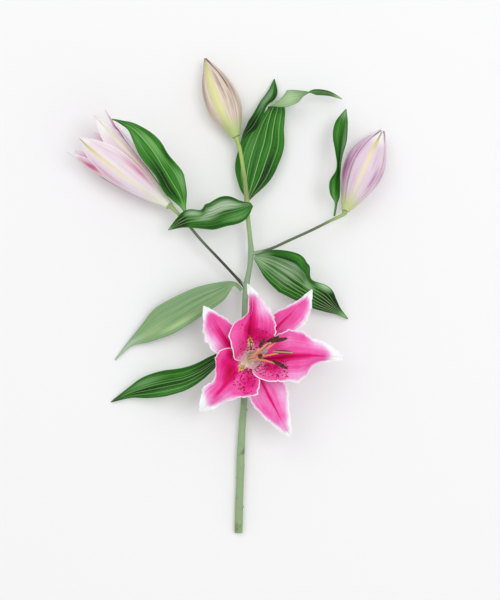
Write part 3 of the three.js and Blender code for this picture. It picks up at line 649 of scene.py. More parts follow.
def leaf_face(tree, lines):
    across, fibre, net, tone, painted_sheen = outputs_of(tree, LEAF_SKIN)
    # The leaf's own greens, darkened and lightened by the tone patches as painted shade and painted
    # light where the blade folds.
    colour = shades(tree, tone, [
        (0.0, 0, 26, 0), (1.0, 146, 194, 122), (0.2, 10, 58, 8), (0.42, 34, 102, 20),
        (0.58, 58, 130, 38), (0.78, 98, 164, 78),
    ])
    # Painted sheen: a grey-green that stands in for the bright room reflected in the glossy blade.
    colour = blend(tree, calc(tree, "MINIMUM", painted_sheen, MOST_PAINTED_SHEEN), colour, paint(184, 202, 178))
    colour = blend(tree, times(tree, net, 0.1), colour, paint(132, 178, 104))
    colour = blend(tree, pale_lines(tree, across, lines), colour, paint(158, 200, 132))
    rim = ease(tree, attribute(tree, "edge"), 0.6, 0.1, 0.0, 0.35)
    colour = blend(tree, rim, colour, paint(96, 136, 76))
    relief = plus(tree, fibre, times(tree, net, 0.35))
    return {"Base Color": colour, "Roughness": scaled(tree, fibre, 0.24, 0.3),
            "Normal": bump(tree, relief, 0.3, 0.0004), "Specular IOR Level": 0.12}


def leaf_back(tree, lines):
    across, fibre, net, tone, painted_sheen = outputs_of(tree, LEAF_SKIN)
    # The paler greens of the back, with painted shade and painted light from the tone patches.
    colour = shades(tree, tone, [
        (0.0, 78, 118, 72), (1.0, 196, 220, 160), (0.35, 122, 158, 112), (0.6, 146, 180, 126),
    ])
    # A weaker painted sheen on the matt back.
    painted_sheen = calc(tree, "MINIMUM", times(tree, painted_sheen, 0.7), MOST_PAINTED_SHEEN)
    colour = blend(tree, painted_sheen, colour, paint(186, 202, 184))
    lines = pale_lines(tree, across, lines)
    colour = blend(tree, times(tree, lines, 0.6), colour, paint(182, 206, 158))
    colour = blend(tree, times(tree, net, 0.12), colour, paint(96, 136, 84))
    relief = minus(tree, plus(tree, fibre, times(tree, net, 0.3)), lines)
    return {"Base Color": colour, "Roughness": 0.6, "Normal": bump(tree, relief, 0.35, 0.0004),
            "Specular IOR Level": 0.15}


for name, plan in LEAVES.items():
    turned_over = plan.get("turned_over", False)
    # The tone holds the leaf's own green with its patches of painted light and shade; the painted
    # sheen is a grey reflection painted on.
    tones = {
        "tone": lambda *place: plan["tone"] + patch_sum(plan["patches"], *place),
        "painted_sheen": lambda *place: max(patch_sum(plan["patches"], *place, which=5), 0),
    }
    bm = lay_blade(plan, plan.get("rows", LEAF_ROWS), LEAF_COLUMNS, leaf_relief, tones)
    leaf = make_piece(name, bm, "leaf_under" if turned_over else "leaf", name)
    sides = [new_finish(name + "_face", leaf_face, plan["lines"]),
             new_finish(name + "_back", leaf_back, plan["lines"])]
    thicken(leaf, LEAF_THICKNESS, *(reversed(sides) if turned_over else sides))


# ---- the open bloom's petals and sepals ----
# Six fleshy tepals in two layers: three broad petals over three narrower sepals. Each has a sunken
# midrib, a deep pink band, and a white rim that ruffles; their bases form the throat.

PETAL_THICKNESS = 0.7
PETAL_ROWS = 110
PETAL_COLUMNS = 64
BLOOM_SEAT = Vector((22, -67, 34))
BLOOM_AXIS = Vector((0.33, 0.12, 0.935)).normalized()
ACROSS_BLOOM = (Vector((1, 0, 0)) - BLOOM_AXIS.x * BLOOM_AXIS).normalized()
UP_BLOOM = BLOOM_AXIS.cross(ACROSS_BLOOM)
ROOT_LIFT = 1.25
# The warmth of a petal's colour runs from -1, white, through 0, pink, to 1, deep crimson. Its
# patches are (share, across, length, width, warmer by). The margins fade to white over the feather
# widths, in millimetres from base to tip. The broad petals also have a crisp white rim between two
# shares, and a groove that ends at a share. Spots grow about a place across.
PETALS = {
    "bloom_petal_top": {
        "root": (100, 4.9),
        "midrib": [(22, -58, 44), (22.3, -50, 55), (21.5, -39, 65), (23, -25.3, 71),
            (24.6, -12.8, 72.5), (24.1, -1.3, 70), (19.4, 12.4, 64)],
        "left": [3.3, 14, 27, 23, 11, 8, 6, 0.6], "right": [3.3, 6.5, 12, 29, 28, 18, 9.5, 0.6],
        "fold_left": [0, 54, 40, 22, -58, -65, -58, 0],
        "fold_right": [0, 20, 32, 20, 8, -12, -35, 0], "warmth": 0.16,
        "patches": [(0.48, 0, 0.22, 0.4, 0.75), (0.42, -0.5, 0.13, 0.6, 0.4),
            (0.68, 0.1, 0.2, 0.4, 0.45), (0.72, -0.55, 0.2, 0.55, -0.65),
            (0.42, 0.8, 0.16, 0.4, -0.2), (0.88, 0, 0.12, 1.5, -0.35), (0.99, 0, 0.15, 3, -1.3),
            (0.2, -0.3, 0.14, 1.1, -0.65), (0.24, 0.75, 0.1, 0.4, 0.1)],
        "feather_left": [0, 0, 0, 0.5, 0.5, 1, 2, 4], "feather_right": [0, 0, 0.5, 1, 2.6, 5, 5, 6],
        "rim_left": (0.18, 0.9), "rim_right": (0.36, 0.56), "groove": 0.41, "spots": 190,
        "spot_side": -0.15,
    },
    "bloom_petal_right": {
        "root": (0, 4.9),
        "midrib": [(33, -67, 44), (39, -66.5, 54), (47, -66, 63), (61.8, -64.1, 70),
            (79.6, -63, 70.5), (93.3, -63.2, 67.5), (107.3, -63.9, 61), (120.5, -65.8, 53)],
        "left": [3.3, 6.5, 10, 16, 28.5, 25, 19, 11, 2.2],
        "right": [3.3, 13, 23, 27, 27, 25, 12, 7, 2.2],
        "fold_left": [0, 12, 16, 10, 2, -25, -30, -20, 0],
        "fold_right": [0, 36, 42, 28, 12, -20, -50, -35, 0], "warmth": 0,
        "patches": [(0.42, 0.02, 0.2, 0.36, 0.85), (0.62, 0, 0.28, 0.17, 0.75),
            (0.38, -0.4, 0.12, 0.35, 0.5), (0.4, 0.6, 0.12, 0.5, 0.15),
            (0.56, -0.72, 0.14, 0.36, -0.35), (0.52, 0.6, 0.12, 0.3, -0.12),
            (0.76, 0.65, 0.16, 0.5, -0.4), (0.94, 0, 0.14, 3, -1.1), (0.2, -0.6, 0.14, 0.7, -0.55),
            (0.14, 0, 0.12, 1, -0.4), (0.3, -0.75, 0.12, 0.3, -0.15)],
        "feather_left": [0, 0, 0.5, 1, 1.4, 3, 5, 6, 6],
        "feather_right": [0, 0.5, 1, 1, 3, 5, 3, 3, 5], "rim_left": (0.42, 0.56),
        "rim_right": (0.1, 0.44), "groove": 0.2, "spots": 210, "spot_side": -0.42,
    },
    "bloom_petal_lower": {
        "root": (225, 4.9),
        "midrib": [(16.5, -73, 43.5), (11.5, -78, 52), (5, -85.6, 59), (-4.3, -95.8, 63.5),
            (-15.8, -108.5, 63), (-23.4, -115.7, 59), (-31.5, -122.5, 53)],
        "left": [3.3, 9, 22, 31, 18, 11, 7, 1], "right": [3.3, 8, 28, 31, 15, 17, 12, 1],
        "fold_left": [0, 20, 26, 12, -10, -35, -30, 0],
        "fold_right": [0, 8, 20, 14, -12, -20, -20, 0], "warmth": 0.08,
        "patches": [(0.44, -0.18, 0.2, 0.36, 0.9), (0.62, -0.08, 0.15, 0.2, 0.55),
            (0.27, -0.72, 0.1, 0.35, 0.6), (0.38, 0.55, 0.13, 0.45, 0.38),
            (0.62, 0.5, 0.12, 0.5, -0.25), (0.78, -0.4, 0.16, 0.8, -0.45), (0.98, 0, 0.24, 3, -1.3),
            (0.14, 0.5, 0.13, 0.8, -0.6), (0.38, -0.5, 0.2, 0.4, 0.45)],
        "feather_left": [0, 0.5, 1, 1.6, 4.6, 5.4, 6, 6],
        "feather_right": [0, 0, 0, 0.5, 3, 6, 7, 7], "rim_left": (0.24, 0.46),
        "rim_right": (0.1, 0.4), "groove": 0.35, "spots": 190, "spot_side": 0.4,
    },
    "bloom_sepal_upper_right": {
        "root": (48, 8.2),
        "midrib": [(31, -56.5, 39), (36, -50, 45.5), (42.2, -42.6, 51), (54.8, -28.7, 57),
            (65.3, -18.7, 59), (77, -6.5, 57), (87.8, 6.7, 50)],
        "left": [3.6, 7, 12, 14, 12.5, 9, 4.5, 0.6], "right": [3.6, 7, 12, 14, 15, 18, 13, 0.6],
        "fold_left": [0, 12, 15, 12, -5, -20, -30, 0], "fold_right": [0, 12, 15, 12, 0, -8, -15, 0],
        "warmth": 0.05,
        "patches": [(0.36, 0.05, 0.2, 0.5, 0.7), (0.58, 0, 0.24, 0.2, 0.5),
            (0.62, -0.6, 0.16, 0.4, -0.2), (0.99, 0, 0.12, 3, -1.1)],
        "feather_left": [0, 0, 0.5, 1, 1, 2, 4, 5], "feather_right": [0, 0, 0.5, 1, 3, 5.5, 6.5, 6],
        "spots": 24, "spot_side": -0.2,
    },
    "bloom_sepal_bottom": {
        "root": (288, 8.2),
        "midrib": [(26, -78, 38.5), (28.5, -82.8, 45), (33.7, -90.3, 51), (41, -104.8, 56),
            (50.5, -122.7, 57), (59.1, -139, 53), (66.7, -151.3, 45)],
        "left": [3.6, 7, 12, 18, 23, 15.5, 8, 0.6], "right": [3.6, 6.6, 12, 15, 19, 15.5, 8.5, 0.6],
        "fold_left": [0, 12, 15, 12, -10, -25, -25, 0],
        "fold_right": [0, 12, 15, 12, -8, -25, -25, 0], "warmth": -0.1,
        "patches": [(0.34, 0, 0.2, 0.4, 0.65), (0.62, 0, 0.28, 0.13, 0.75),
            (0.55, -0.55, 0.15, 0.35, -0.12), (0.62, 0.65, 0.18, 0.4, -0.35),
            (0.85, 0, 0.1, 2, -0.2), (1, 0, 0.12, 3, -1.2)],
        "feather_left": [0, 0, 0.5, 1.2, 3, 4.4, 6, 6],
        "feather_right": [0, 0, 0.5, 0.8, 1.8, 3, 5, 6],
    },
    "bloom_sepal_left": {
        "root": (146, 8.2),
        "midrib": [(11.2, -60.6, 41.5), (5.8, -55.6, 48), (-0.3, -50, 52.5), (-8.7, -36.1, 57),
            (-18.2, -22.4, 58), (-27.3, -10.8, 51)],
        "left": [3.6, 8, 14, 18, 20, 12.5, 0.6], "right": [3.6, 8, 13, 14, 13, 8, 0.6],
        "fold_left": [0, 12, 12, 5, -15, -25, 0], "fold_right": [0, 12, 15, 5, -20, -30, 0],
        "warmth": 0.05,
        "patches": [(0.42, 0, 0.26, 0.45, 0.7), (0.62, 0.1, 0.22, 0.2, 0.35),
            (0.6, 0.65, 0.2, 0.4, -0.5), (0.98, 0, 0.14, 3, -1.1)],
        "feather_left": [0, 0, 2, 4.4, 6, 6, 7], "feather_right": [0, 0, 0.6, 1, 1.6, 3.4, 4],
        "spots": 12, "spot_side": 0.2,
    },
}


def bloom_point(degrees, radius, height):
    """A point on a ring round the bloom's axis, at a height above the receptacle."""
    angle = math.radians(degrees)
    return (BLOOM_SEAT + height * BLOOM_AXIS + radius * math.cos(angle) * ACROSS_BLOOM
            + radius * math.sin(angle) * UP_BLOOM)


def plateau(share, start, full, leave, end):
    """Rises from start to full, and falls again from leave to end."""
    return smooth_step(start, full, share) * smooth_step(end, leave, share)


def petal_relief(plan, share, across):
    """The sunken midrib between two ridges, the nectar groove at its base, and the frilled rim."""
    away = abs(across)
    off = away * half_width(plan, share, across)
    furrow = (1 - 0.6 * smooth_step(0.42, 0.3, share)) * hump(off, 0, 1.1)
    lift = plateau(share, 0.04, 0.2, 0.85, 1) * (0.55 * hump(off, 2.6, 1.3) - furrow)
    lift += plateau(share, 0.12, 0.2, 0.28, 0.36) * 0.8 * hump(off, 1.9, 0.7)
    seed = plan["root"][0] * 0.1 + (7 if across > 0 else 0)
    frill = wobble(share * 17, seed, 0) + 0.5 * wobble(share * 41, seed, 3)
    lift += 2 * frill * smooth_step(0.62, 1, away) ** 2 * plateau(share, 0.22, 0.45, 0.9, 1)
    return lift + 0.5 * wobble(share * 6, across * 2.5, seed) * smooth_step(0.2, 0.4, share)


def petal_places(group):
    """How far a point is off a tepal's midrib, along it and in from its rim, and its veins."""
    uv = blade_uv(group)
    across, along, _ = apart(group, uv)
    away = calc(group, "ABSOLUTE", scaled(group, across, 2.0, -1.0))
    vein = grain(group, stretched(group, uv, (46.0, 2.4, 1.0)), 1.0, 4.0)
    return {"Away": plus(group, away, scaled(group, vein, 0.22, -0.11)), "Along": along,
            "Rim": plus(group, attribute(group, "edge"), scaled(group, vein, 1.6, -0.8)),
            "Vein": vein, "Mottle": grain(group, object_place(group), 90.0, 4.0)}


PETAL_PLACES = new_group("petal_places", petal_places)
PETAL_PINKS = [(0.0, 252, 249, 252), (1.0, 178, 0, 68), (0.14, 246, 226, 242), (0.3, 242, 168, 216),
               (0.5, 238, 92, 170), (0.68, 228, 28, 134), (0.84, 212, 0, 102)]


def nectar_groove(tree, colour, away, along, mouth):
    """A short olive flame between cream lips, which ends at the share mouth."""
    off = times(tree, away, attribute(tree, "wide"))
    taper = scaled(tree, off, 0.011, along)
    lips = times(tree, ease(tree, taper, mouth, mouth - 0.035), ease(tree, off, 5.0, 3.8))
    cream = blend(tree, ease(tree, along, mouth - 0.12, mouth - 0.02), paint(255, 244, 220),
                  paint(255, 198, 130))
    flame = times(tree, ease(tree, off, 3.2, 1.8), ease(tree, along, mouth - 0.16, mouth - 0.1))
    flame = times(tree, flame, ease(tree, taper, mouth - 0.02, mouth - 0.05))
    colour = blend(tree, lips, colour, cream)
    return blend(tree, times(tree, flame, 0.9), colour, paint(206, 200, 84))


def petal_face(tree, groove):
    away, along, rim, vein, mottle = outputs_of(tree, PETAL_PLACES)
    # Long streaks run into the pale margin, which is pale pink with only its outer edge white.
    reach = times(tree, attribute(tree, "feather"), scaled(tree, vein, 4.2, -0.9))
    fade = calc(tree, "DIVIDE", attribute(tree, "edge"), calc(tree, "MAXIMUM", reach, 0.3))
    fade = calc(tree, "MAXIMUM", minus(tree, 1.0, fade), 0.0)
    warmth = pushed(tree, pushed(tree, attribute(tree, "warmth"), vein, 0.62), mottle, 0.4)
    warmth = minus(tree, warmth, times(tree, fade, 0.95))
    colour = shades(tree, scaled(tree, warmth, 0.5, 0.5), PETAL_PINKS)
    # The throat is a bright pale pink that turns to cream at its very bottom.
    throat = shades(tree, along, [(0.0, 255, 244, 226), (1.0, 255, 200, 230), (0.1, 255, 228, 236),
                                  (0.2, 255, 212, 238)])
    spread = plus(tree, along, scaled(tree, mottle, 0.14, -0.07))
    colour = blend(tree, ease(tree, spread, 0.3, 0.15, 0.0, 0.95), colour, throat)
    crisp = times(tree, ease(tree, rim, 1.25, 0.75), attribute(tree, "rim"))
    colour = blend(tree, crisp, colour, paint(255, 236, 248))
    if groove:
        colour = nectar_groove(tree, colour, away, along, groove)
    relief = plus(tree, vein, times(tree, mottle, 0.5))
    return {"Base Color": colour, "Roughness": scaled(tree, mottle, 0.25, 0.42),
            "Normal": bump(tree, relief, 0.5, 0.0006), "Specular IOR Level": 0.16,
            "Subsurface Weight": 0.4, "Subsurface Radius": (1.0, 0.5, 0.7),
            "Subsurface Scale": 0.0025}


def petal_back(tree):
    away, along, rim, vein, mottle = outputs_of(tree, PETAL_PLACES)
    colour = shades(tree, along, [
        (0.0, 206, 216, 160), (1.0, 250, 246, 248), (0.2, 244, 226, 220), (0.4, 242, 158, 204),
        (0.75, 246, 186, 220),
    ])
    rib = times(tree, ease(tree, away, 0.2, 0.05), ease(tree, along, 0.95, 0.7))
    colour = blend(tree, times(tree, rib, 0.7), colour, paint(208, 206, 150))
    colour = blend(tree, ease(tree, rim, 3.0, 0.6), colour, paint(250, 246, 250))
    streaks = times(tree, ease(tree, vein, 0.45, 0.8), 0.3)
    colour = blend(tree, streaks, colour, paint(222, 100, 170))
    return {"Base Color": colour, "Roughness": scaled(tree, mottle, 0.25, 0.4),
            "Normal": bump(tree, vein, 0.45, 0.0006), "Specular IOR Level": 0.2}


def crisp_rim(plan, share, across):
    if "rim_left" not in plan:
        return 0
    start, stop = on_side(plan, "rim", across)
    return plateau(share, start - 0.03, start + 0.03, stop - 0.04, stop + 0.04)


PETAL_BACK = new_finish("petal_back", petal_back)
for name, plan in PETALS.items():
    turn, radius = plan["root"]
    plan["midrib"] = [tuple(bloom_point(turn, radius, ROOT_LIFT))] + plan["midrib"]
    plan.update(curl=8, ripples=4, ripple=1.3, ragged=0.14)
    tones = {
        "warmth": lambda *place: plan["warmth"] + patch_sum(plan["patches"], *place),
        "feather": lambda share, across: max(through(on_side(plan, "feather", across), share), 0),
        "rim": lambda *place: crisp_rim(plan, *place),
    }
    bm = lay_blade(plan, PETAL_ROWS, PETAL_COLUMNS, petal_relief, tones)
    petal = make_piece(name, bm, "petal", name)
    face = new_finish(name + "_face", petal_face, plan.get("groove"))
    thicken(petal, PETAL_THICKNESS, face, PETAL_BACK)


# ---- raised spots ----
# Small fleshy warts of deep crimson that stand up from the petals round the throat. They grow
# densest at the foot of the coloured band and thin out up the blade.

SPOT_SIZE = 0.72
SPOTS_START = 0.2  # the share of the blade where they begin
SPOTS_REACH = 0.3


def spot_colour(tree):
    shade = ease(tree, grain(tree, object_place(tree), 400.0), 0.35, 0.7)
    return {"Base Color": blend(tree, shade, paint(158, 0, 66), paint(196, 0, 90)),
            "Roughness": 0.5, "Specular IOR Level": 0.2}


SPOT_COLOUR = new_finish("raised_spots", spot_colour)
chance = random.Random(11)
for name, plan in PETALS.items():
    if "spots" not in plan:
        continue
    bm = bmesh.new()
    for _ in range(plan["spots"]):
        share = SPOTS_START + SPOTS_REACH * chance.random() ** 1.3
        across = min(max(chance.gauss(plan["spot_side"], 0.34), -0.8), 0.8)
        size = SPOT_SIZE * chance.uniform(0.6, 1.15)
        here = blade_point(plan, share, across, petal_relief)
        ahead = blade_point(plan, share + 0.01, across, petal_relief) - here
        aside = blade_point(plan, share, across + 0.02, petal_relief) - here
        outward = ahead.cross(aside).normalized()
        if outward.dot(blade_station(plan, share)[1]) < 0:
            outward = -outward
        here += outward * PETAL_THICKNESS * 0.5
        ahead.normalize()
        aside = outward.cross(ahead)
        wart = bmesh.ops.create_icosphere(bm, subdivisions=1, radius=1)["verts"]
        for vert in wart:
            x, y, z = vert.co
            vert.co = (here + size * (ahead * x * 1.35 + aside * y + outward * z * 0.75)) * MM
    spots = make_piece(name.replace("bloom_", "spots_"), bm, "petal")
    spots.data.materials.append(SPOT_COLOUR)


# ---- stamens ----
# Six smooth filaments rise from the receptacle inside the petals. Each carries a long two-lobed
# anther, hung across its end by the middle and caked in dark brown pollen.

ANTHER_RADIUS = 2.05
FILAMENT_RADII = [1.15, 1.1, 0.95, 0.55]
STAMEN_RING = 3.0
ANTHERS = [
    [(42.6, -47.6, 94), (60.5, -43.6, 96)],
    [(31.2, -53.5, 101), (37.3, -43.4, 108)],
    [(45.6, -57.4, 93), (66.2, -58.6, 97)],
    [(44.7, -66.6, 91), (60.8, -75.2, 95)],
    [(30.4, -62.8, 99), (34.2, -60.2, 108)],
    [(38.5, -47.8, 88), (52, -42.2, 89)],
]
STAMEN_TURNS = [(58, 60), (178, 143), (-2, 5), (-62, -49), (238, 193), (118, 80)]
ANTHER_ARCH = 0.03


def anther_radius(share, turn):
    """Two fat lobes along the anther, with a deep cleft between them and one opposite."""
    round_off = math.sin(math.pi * min(max(share, 0.004), 0.996)) ** 0.42
    lobes = 1 - 0.34 * max(math.sin(turn), 0) ** 10 - 0.25 * max(-math.sin(turn), 0) ** 10
    crumble = 0.06 * wobble(share * 14, math.cos(turn) * 2, math.sin(turn) * 2)
    return ANTHER_RADIUS * round_off * (lobes + crumble)


def filament_radius(share, turn):
    return through(FILAMENT_RADII, share)


def beads(tree, place, scale):
    """The distance from the middle of the nearest of many small grains."""
    return add(tree, "ShaderNodeTexVoronoi", {"Vector": place, "Scale": scale}).outputs["Distance"]


def pollen(tree, dark, light, burst):
    place = object_place(tree)
    grains = beads(tree, place, 3600.0)
    cake = grain(tree, place, 500.0, 5.0)
    colour = blend(tree, ease(tree, cake, 0.38, 0.66), dark, light)
    colour = blend(tree, ease(tree, grains, 0.2, 0.5, 0.3, 0.0), colour, paint(150, 92, 58))
    if burst:
        # One anther has burst along its middle, where its pale wall shows.
        x, y, _ = apart(tree, place)
        off = calc(tree, "ABSOLUTE", plus(tree, y, scaled(tree, x, 0.058, 0.05475)))
        wall = ease(tree, off, 0.001, 0.0005, 0.0, 0.85)
        colour = blend(tree, wall, colour, paint(216, 162, 140))
    relief = minus(tree, cake, times(tree, grains, 0.6))
    return {"Base Color": colour, "Roughness": 0.85, "Normal": bump(tree, relief, 0.7, 0.0003)}


def filament_skin(tree):
    place = object_place(tree)
    mottle = grain(tree, place, 300.0)
    height = ease(tree, apart(tree, place)[2], 0.045, 0.075)
    colour = blend(tree, height, paint(255, 226, 206), paint(255, 186, 122))
    colour = blend(tree, ease(tree, mottle, 0.4, 0.7, 0.0, 0.4), colour, paint(255, 214, 166))
    return {"Base Color": colour, "Roughness": 0.45, "Normal": bump(tree, mottle, 0.15, 0.0003),
            "Specular IOR Level": 0.25}


POLLEN = new_finish("pollen", pollen, paint(50, 14, 20), paint(108, 46, 38), False)
BURST_POLLEN = new_finish("burst_pollen", pollen, paint(78, 36, 36), paint(112, 66, 50), True)
FILAMENT_SKIN = new_finish("filament_skin", filament_skin)
for k, (lower, upper) in enumerate(ANTHERS):
    near, far = Vector(lower), Vector(upper)
    middle = near.lerp(far, 0.5) + ANTHER_ARCH * (far - near).length * BLOOM_AXIS
    bm = bmesh.new()
    bend_to_tube(bm, [near, middle, far], anther_radius, 60, 32, up=(0, 1, 0.3))
    anther = make_piece(f"anther_{k + 1}", bm, "pollen", f"anther_{k + 1}")
    anther.data.materials.append(BURST_POLLEN if k == 2 else POLLEN)
    # The filament enters the middle of the anther's back.
    lengthwise = (far - near).normalized()
    back = (lengthwise * BLOOM_AXIS.dot(lengthwise) - BLOOM_AXIS).normalized()
    start, finish = STAMEN_TURNS[k]
    route = [bloom_point(start, STAMEN_RING, 0.1), bloom_point(start, STAMEN_RING + 0.4, 16),
             bloom_point((start + finish) / 2, STAMEN_RING + 3, 36),
             middle + back * ANTHER_RADIUS * 0.6]
    bm = bmesh.new()
    bend_to_tube(bm, route, filament_radius, 48, 14, up=(1, 0, 0))
    filament = make_piece(f"filament_{k + 1}", bm, "filament", f"filament_{k + 1}")
    filament.data.materials.append(FILAMENT_SKIN)


# ---- pistil ----
# One long green style from the middle of the receptacle, swelling at its end into a sticky
# grey-mauve stigma of three lobes.

PISTIL_RADII = [1.6, 1.5, 1.25, 1.15, 1.2, 1.5]
STIGMA = Vector((37.3, -56.3, 107))
STIGMA_SHARE = 0.955  # where the style widens
STIGMA_RADIUS = 3.3


def pistil_radius(share, turn):
    reach = through(PISTIL_RADII, share)
    swell = smooth_step(STIGMA_SHARE - 0.03, STIGMA_SHARE + 0.02, share)
    lobes = 0.82 + 0.18 * math.cos(3 * turn) - 0.12 * max(-math.cos(3 * turn), 0) ** 4
    dome = math.sqrt(max(1 - max((share - 0.975) / 0.026, 0) ** 2, 0.02))
    return (reach + (STIGMA_RADIUS - reach) * swell * lobes) * dome


def pistil_skin(tree):
    place = object_place(tree)
    height = apart(tree, place)[2]
    style = blend(tree, ease(tree, height, 0.06, 0.098), paint(246, 228, 206), paint(220, 190, 166))
    stigma = blend(tree, grain(tree, place, 600.0), paint(130, 106, 120), paint(176, 150, 160))
    return {"Base Color": blend(tree, ease(tree, height, 0.1035, 0.1045), style, stigma),
            "Roughness": 0.26, "Normal": bump(tree, beads(tree, place, 1900.0), 0.3, 0.0002)}


bm = bmesh.new()
style = [bloom_point(0, 0, 0.1), bloom_point(172, 0.2, 22), bloom_point(172, 2.4, 48), STIGMA]
bend_to_tube(bm, style, pistil_radius, 150, 36, up=(1, 0, 0))
pistil = make_piece("pistil", bm, "pistil", "pistil")
pistil.data.materials.append(new_finish("pistil_skin", pistil_skin))


# ---- closed buds ----
# A bud is three fleshy sepals that meet edge to edge over the folded petals inside. Each sepal
# has a raised rib, coloured differently from its sides, and they part a little at the tip.

BUD_ROWS = 110
SEPAL_COLUMNS = 40
SEPAL_THICKNESS = 0.8
SEAM_DEPTH = 1.2  # from a sepal's surface down to the petals inside
TIP_GAP = 14  # degrees that each margin draws back at the tip
FLOOR_GAP = SEPAL_THICKNESS / 2
# Each sepal is (turn, length, flare, degrees to its left margin, degrees to its right one). The
# warmth of its colour and its patches are as on the petals; the rib is (place across, width).
CLOSED_BUDS = {
    "bud_top": {
        "route": [(6.9, 172.9, 21.6), (-5.2, 203.7, 18.5), (-17.2, 234.2, 16.6),
            (-26.8, 258.4, 15.4)],
        "radii": [4.2, 9.2, 14, 17.4, 18.4, 17.6, 15.4, 12.4, 8.6, 4.4, 0.8],
        "sepals": [(turn, 1, 0, 59, 59) for turn in (-20, 100, 220)],
        "slot": "bud_cream",
        "ramp": [(0, 246, 240, 226), (1, 118, 106, 80), (0.3, 234, 222, 200), (0.5, 220, 202, 188),
            (0.75, 180, 160, 146)],
        "rib_ramp": [(0, 190, 206, 118), (1, 110, 122, 50), (0.3, 226, 224, 160),
            (0.7, 222, 220, 154), (0.92, 190, 202, 116)],
        "foot": (186, 204, 132), "seam": (108, 88, 74), "seam_from": 0.4, "tip_seam": 1,
        "seam_clear": 0.85, "streaks": 2.3, "warmth": [0, 0.12, -0.05],
        "ribs": [(0, 0.44), (0.1, 0.2), (0, 0.16)],
        "patches": [
            [(0.55, -0.55, 0.4, 0.14, 0.4), (0.4, -0.8, 0.3, 0.14, 0.3),
                (0.55, 0.74, 0.45, 0.32, 0.5), (0.45, 0.35, 0.3, 0.12, -0.3),
                (0.45, -0.3, 0.3, 0.14, -0.3), (0.8, 0.75, 0.2, 0.14, 0.5)],
            [(0.5, 0.8, 0.4, 0.16, 0.5), (0.5, 0.4, 0.4, 0.14, -0.3), (0.7, 0, 0.3, 0.2, 0.25)],
            [(0.7, -0.6, 0.3, 0.16, 0.5), (0.5, -0.85, 0.4, 0.1, 0.4)],
        ],
    },
    "bud_right": {
        "route": [(125.1, 92.6, 23.8), (138.8, 124, 21.2), (152.6, 154.4, 19.8),
            (166.2, 180.4, 18.6)],
        "radii": [4.2, 9.2, 14.2, 18.4, 21, 21.8, 20.6, 17.2, 12.8, 7.4, 0.8],
        "sepals": [(-3, 0.95, 0.3, 34, 56), (112, 1, 0.7, 58, 59), (234, 0.99, 0.5, 59, 87)],
        "slot": "bud_mauve",
        "ramp": [(0, 248, 242, 242), (1, 142, 88, 126), (0.3, 232, 216, 226), (0.5, 222, 196, 214),
            (0.75, 196, 142, 180)],
        "rib_ramp": [(0, 196, 208, 130), (1, 92, 84, 44), (0.3, 238, 222, 196),
            (0.66, 238, 224, 178), (0.86, 198, 196, 82)],
        "foot": (200, 212, 146), "seam": (176, 134, 166), "seam_from": 0.1, "tip_seam": 0,
        "seam_clear": 0.4, "streaks": 1.3, "warmth": [-0.22, -0.1, 0.12],
        "ribs": [(-0.04, 0.2), (0, 0.1), (0, 0.1)],
        "patches": [
            [(0.4, 0.5, 0.35, 0.3, 0.25), (0.42, -0.75, 0.24, 0.22, 0.75),
                (0.62, -0.4, 0.3, 0.14, 0.2), (0.92, 0, 0.16, 2, -0.8), (0.7, 0.8, 0.25, 0.2, 0.3)],
            [(0.45, 0.7, 0.24, 0.4, 0.4), (0.93, 0, 0.16, 2, -1)],
            [(0.42, -0.72, 0.24, 0.2, 0.75), (0.5, -0.9, 0.4, 0.08, 0.5),
                (0.7, -0.5, 0.25, 0.3, 0.1), (0.93, 0, 0.16, 2, -1)],
        ],
    },
}


def bud_face(tree, plan):
    _, along, rim, vein, mottle = outputs_of(tree, PETAL_PLACES)
    warmth = pushed(tree, attribute(tree, "warmth"), vein, plan["streaks"])
    warmth = pushed(tree, warmth, mottle, 0.25)
    colour = shades(tree, scaled(tree, warmth, 0.5, 0.5), plan["ramp"])
    rib = times(tree, attribute(tree, "rib"), scaled(tree, vein, 0.5, 0.65))
    rib_colour = shades(tree, along, plan["rib_ramp"])
    colour = blend(tree, calc(tree, "MINIMUM", rib, 1.0), colour, rib_colour)
    colour = blend(tree, ease(tree, along, 0.24, 0.02), colour, paint(*plan["foot"]))
    seam = times(tree, ease(tree, rim, 1.5, 0.3),
                 ease(tree, along, plan["seam_from"], plan["seam_from"] + 0.2))
    seam = times(tree, seam, ease(tree, along, 0.97, 0.8, plan["tip_seam"], 1.0))
    colour = blend(tree, times(tree, seam, plan["seam_clear"]), colour, paint(*plan["seam"]))
    return {"Base Color": colour, "Roughness": scaled(tree, vein, 0.3, 0.34),
            "Normal": bump(tree, vein, 0.4, 0.0007), "Specular IOR Level": 0.2,
            "Subsurface Weight": 0.1, "Subsurface Scale": 0.002}


def bud_tones(warmth, patches, rib):
    place, width = rib
    return {
        "warmth": lambda share, across: warmth + patch_sum(patches, share, across),
        "rib": lambda share, across: smooth_step(width, width * 0.2, abs(across - place)),
    }


def bud_core(tree):
    """The folded petals inside, seen only in the seams."""
    folds = grain(tree, object_place(tree), 150.0)
    return {"Base Color": blend(tree, folds, paint(226, 206, 212), paint(238, 226, 220)),
            "Roughness": 0.6}


BUD_CORE = new_finish("bud_core", bud_core)


def sepal_reach(sepal, share, across):
    """The angle from a sepal's rib to its margin, in radians; it narrows where the tips part."""
    return math.radians(sepal[3 if across > 0 else 4] - TIP_GAP * smooth_step(0.86, 1.0, share))


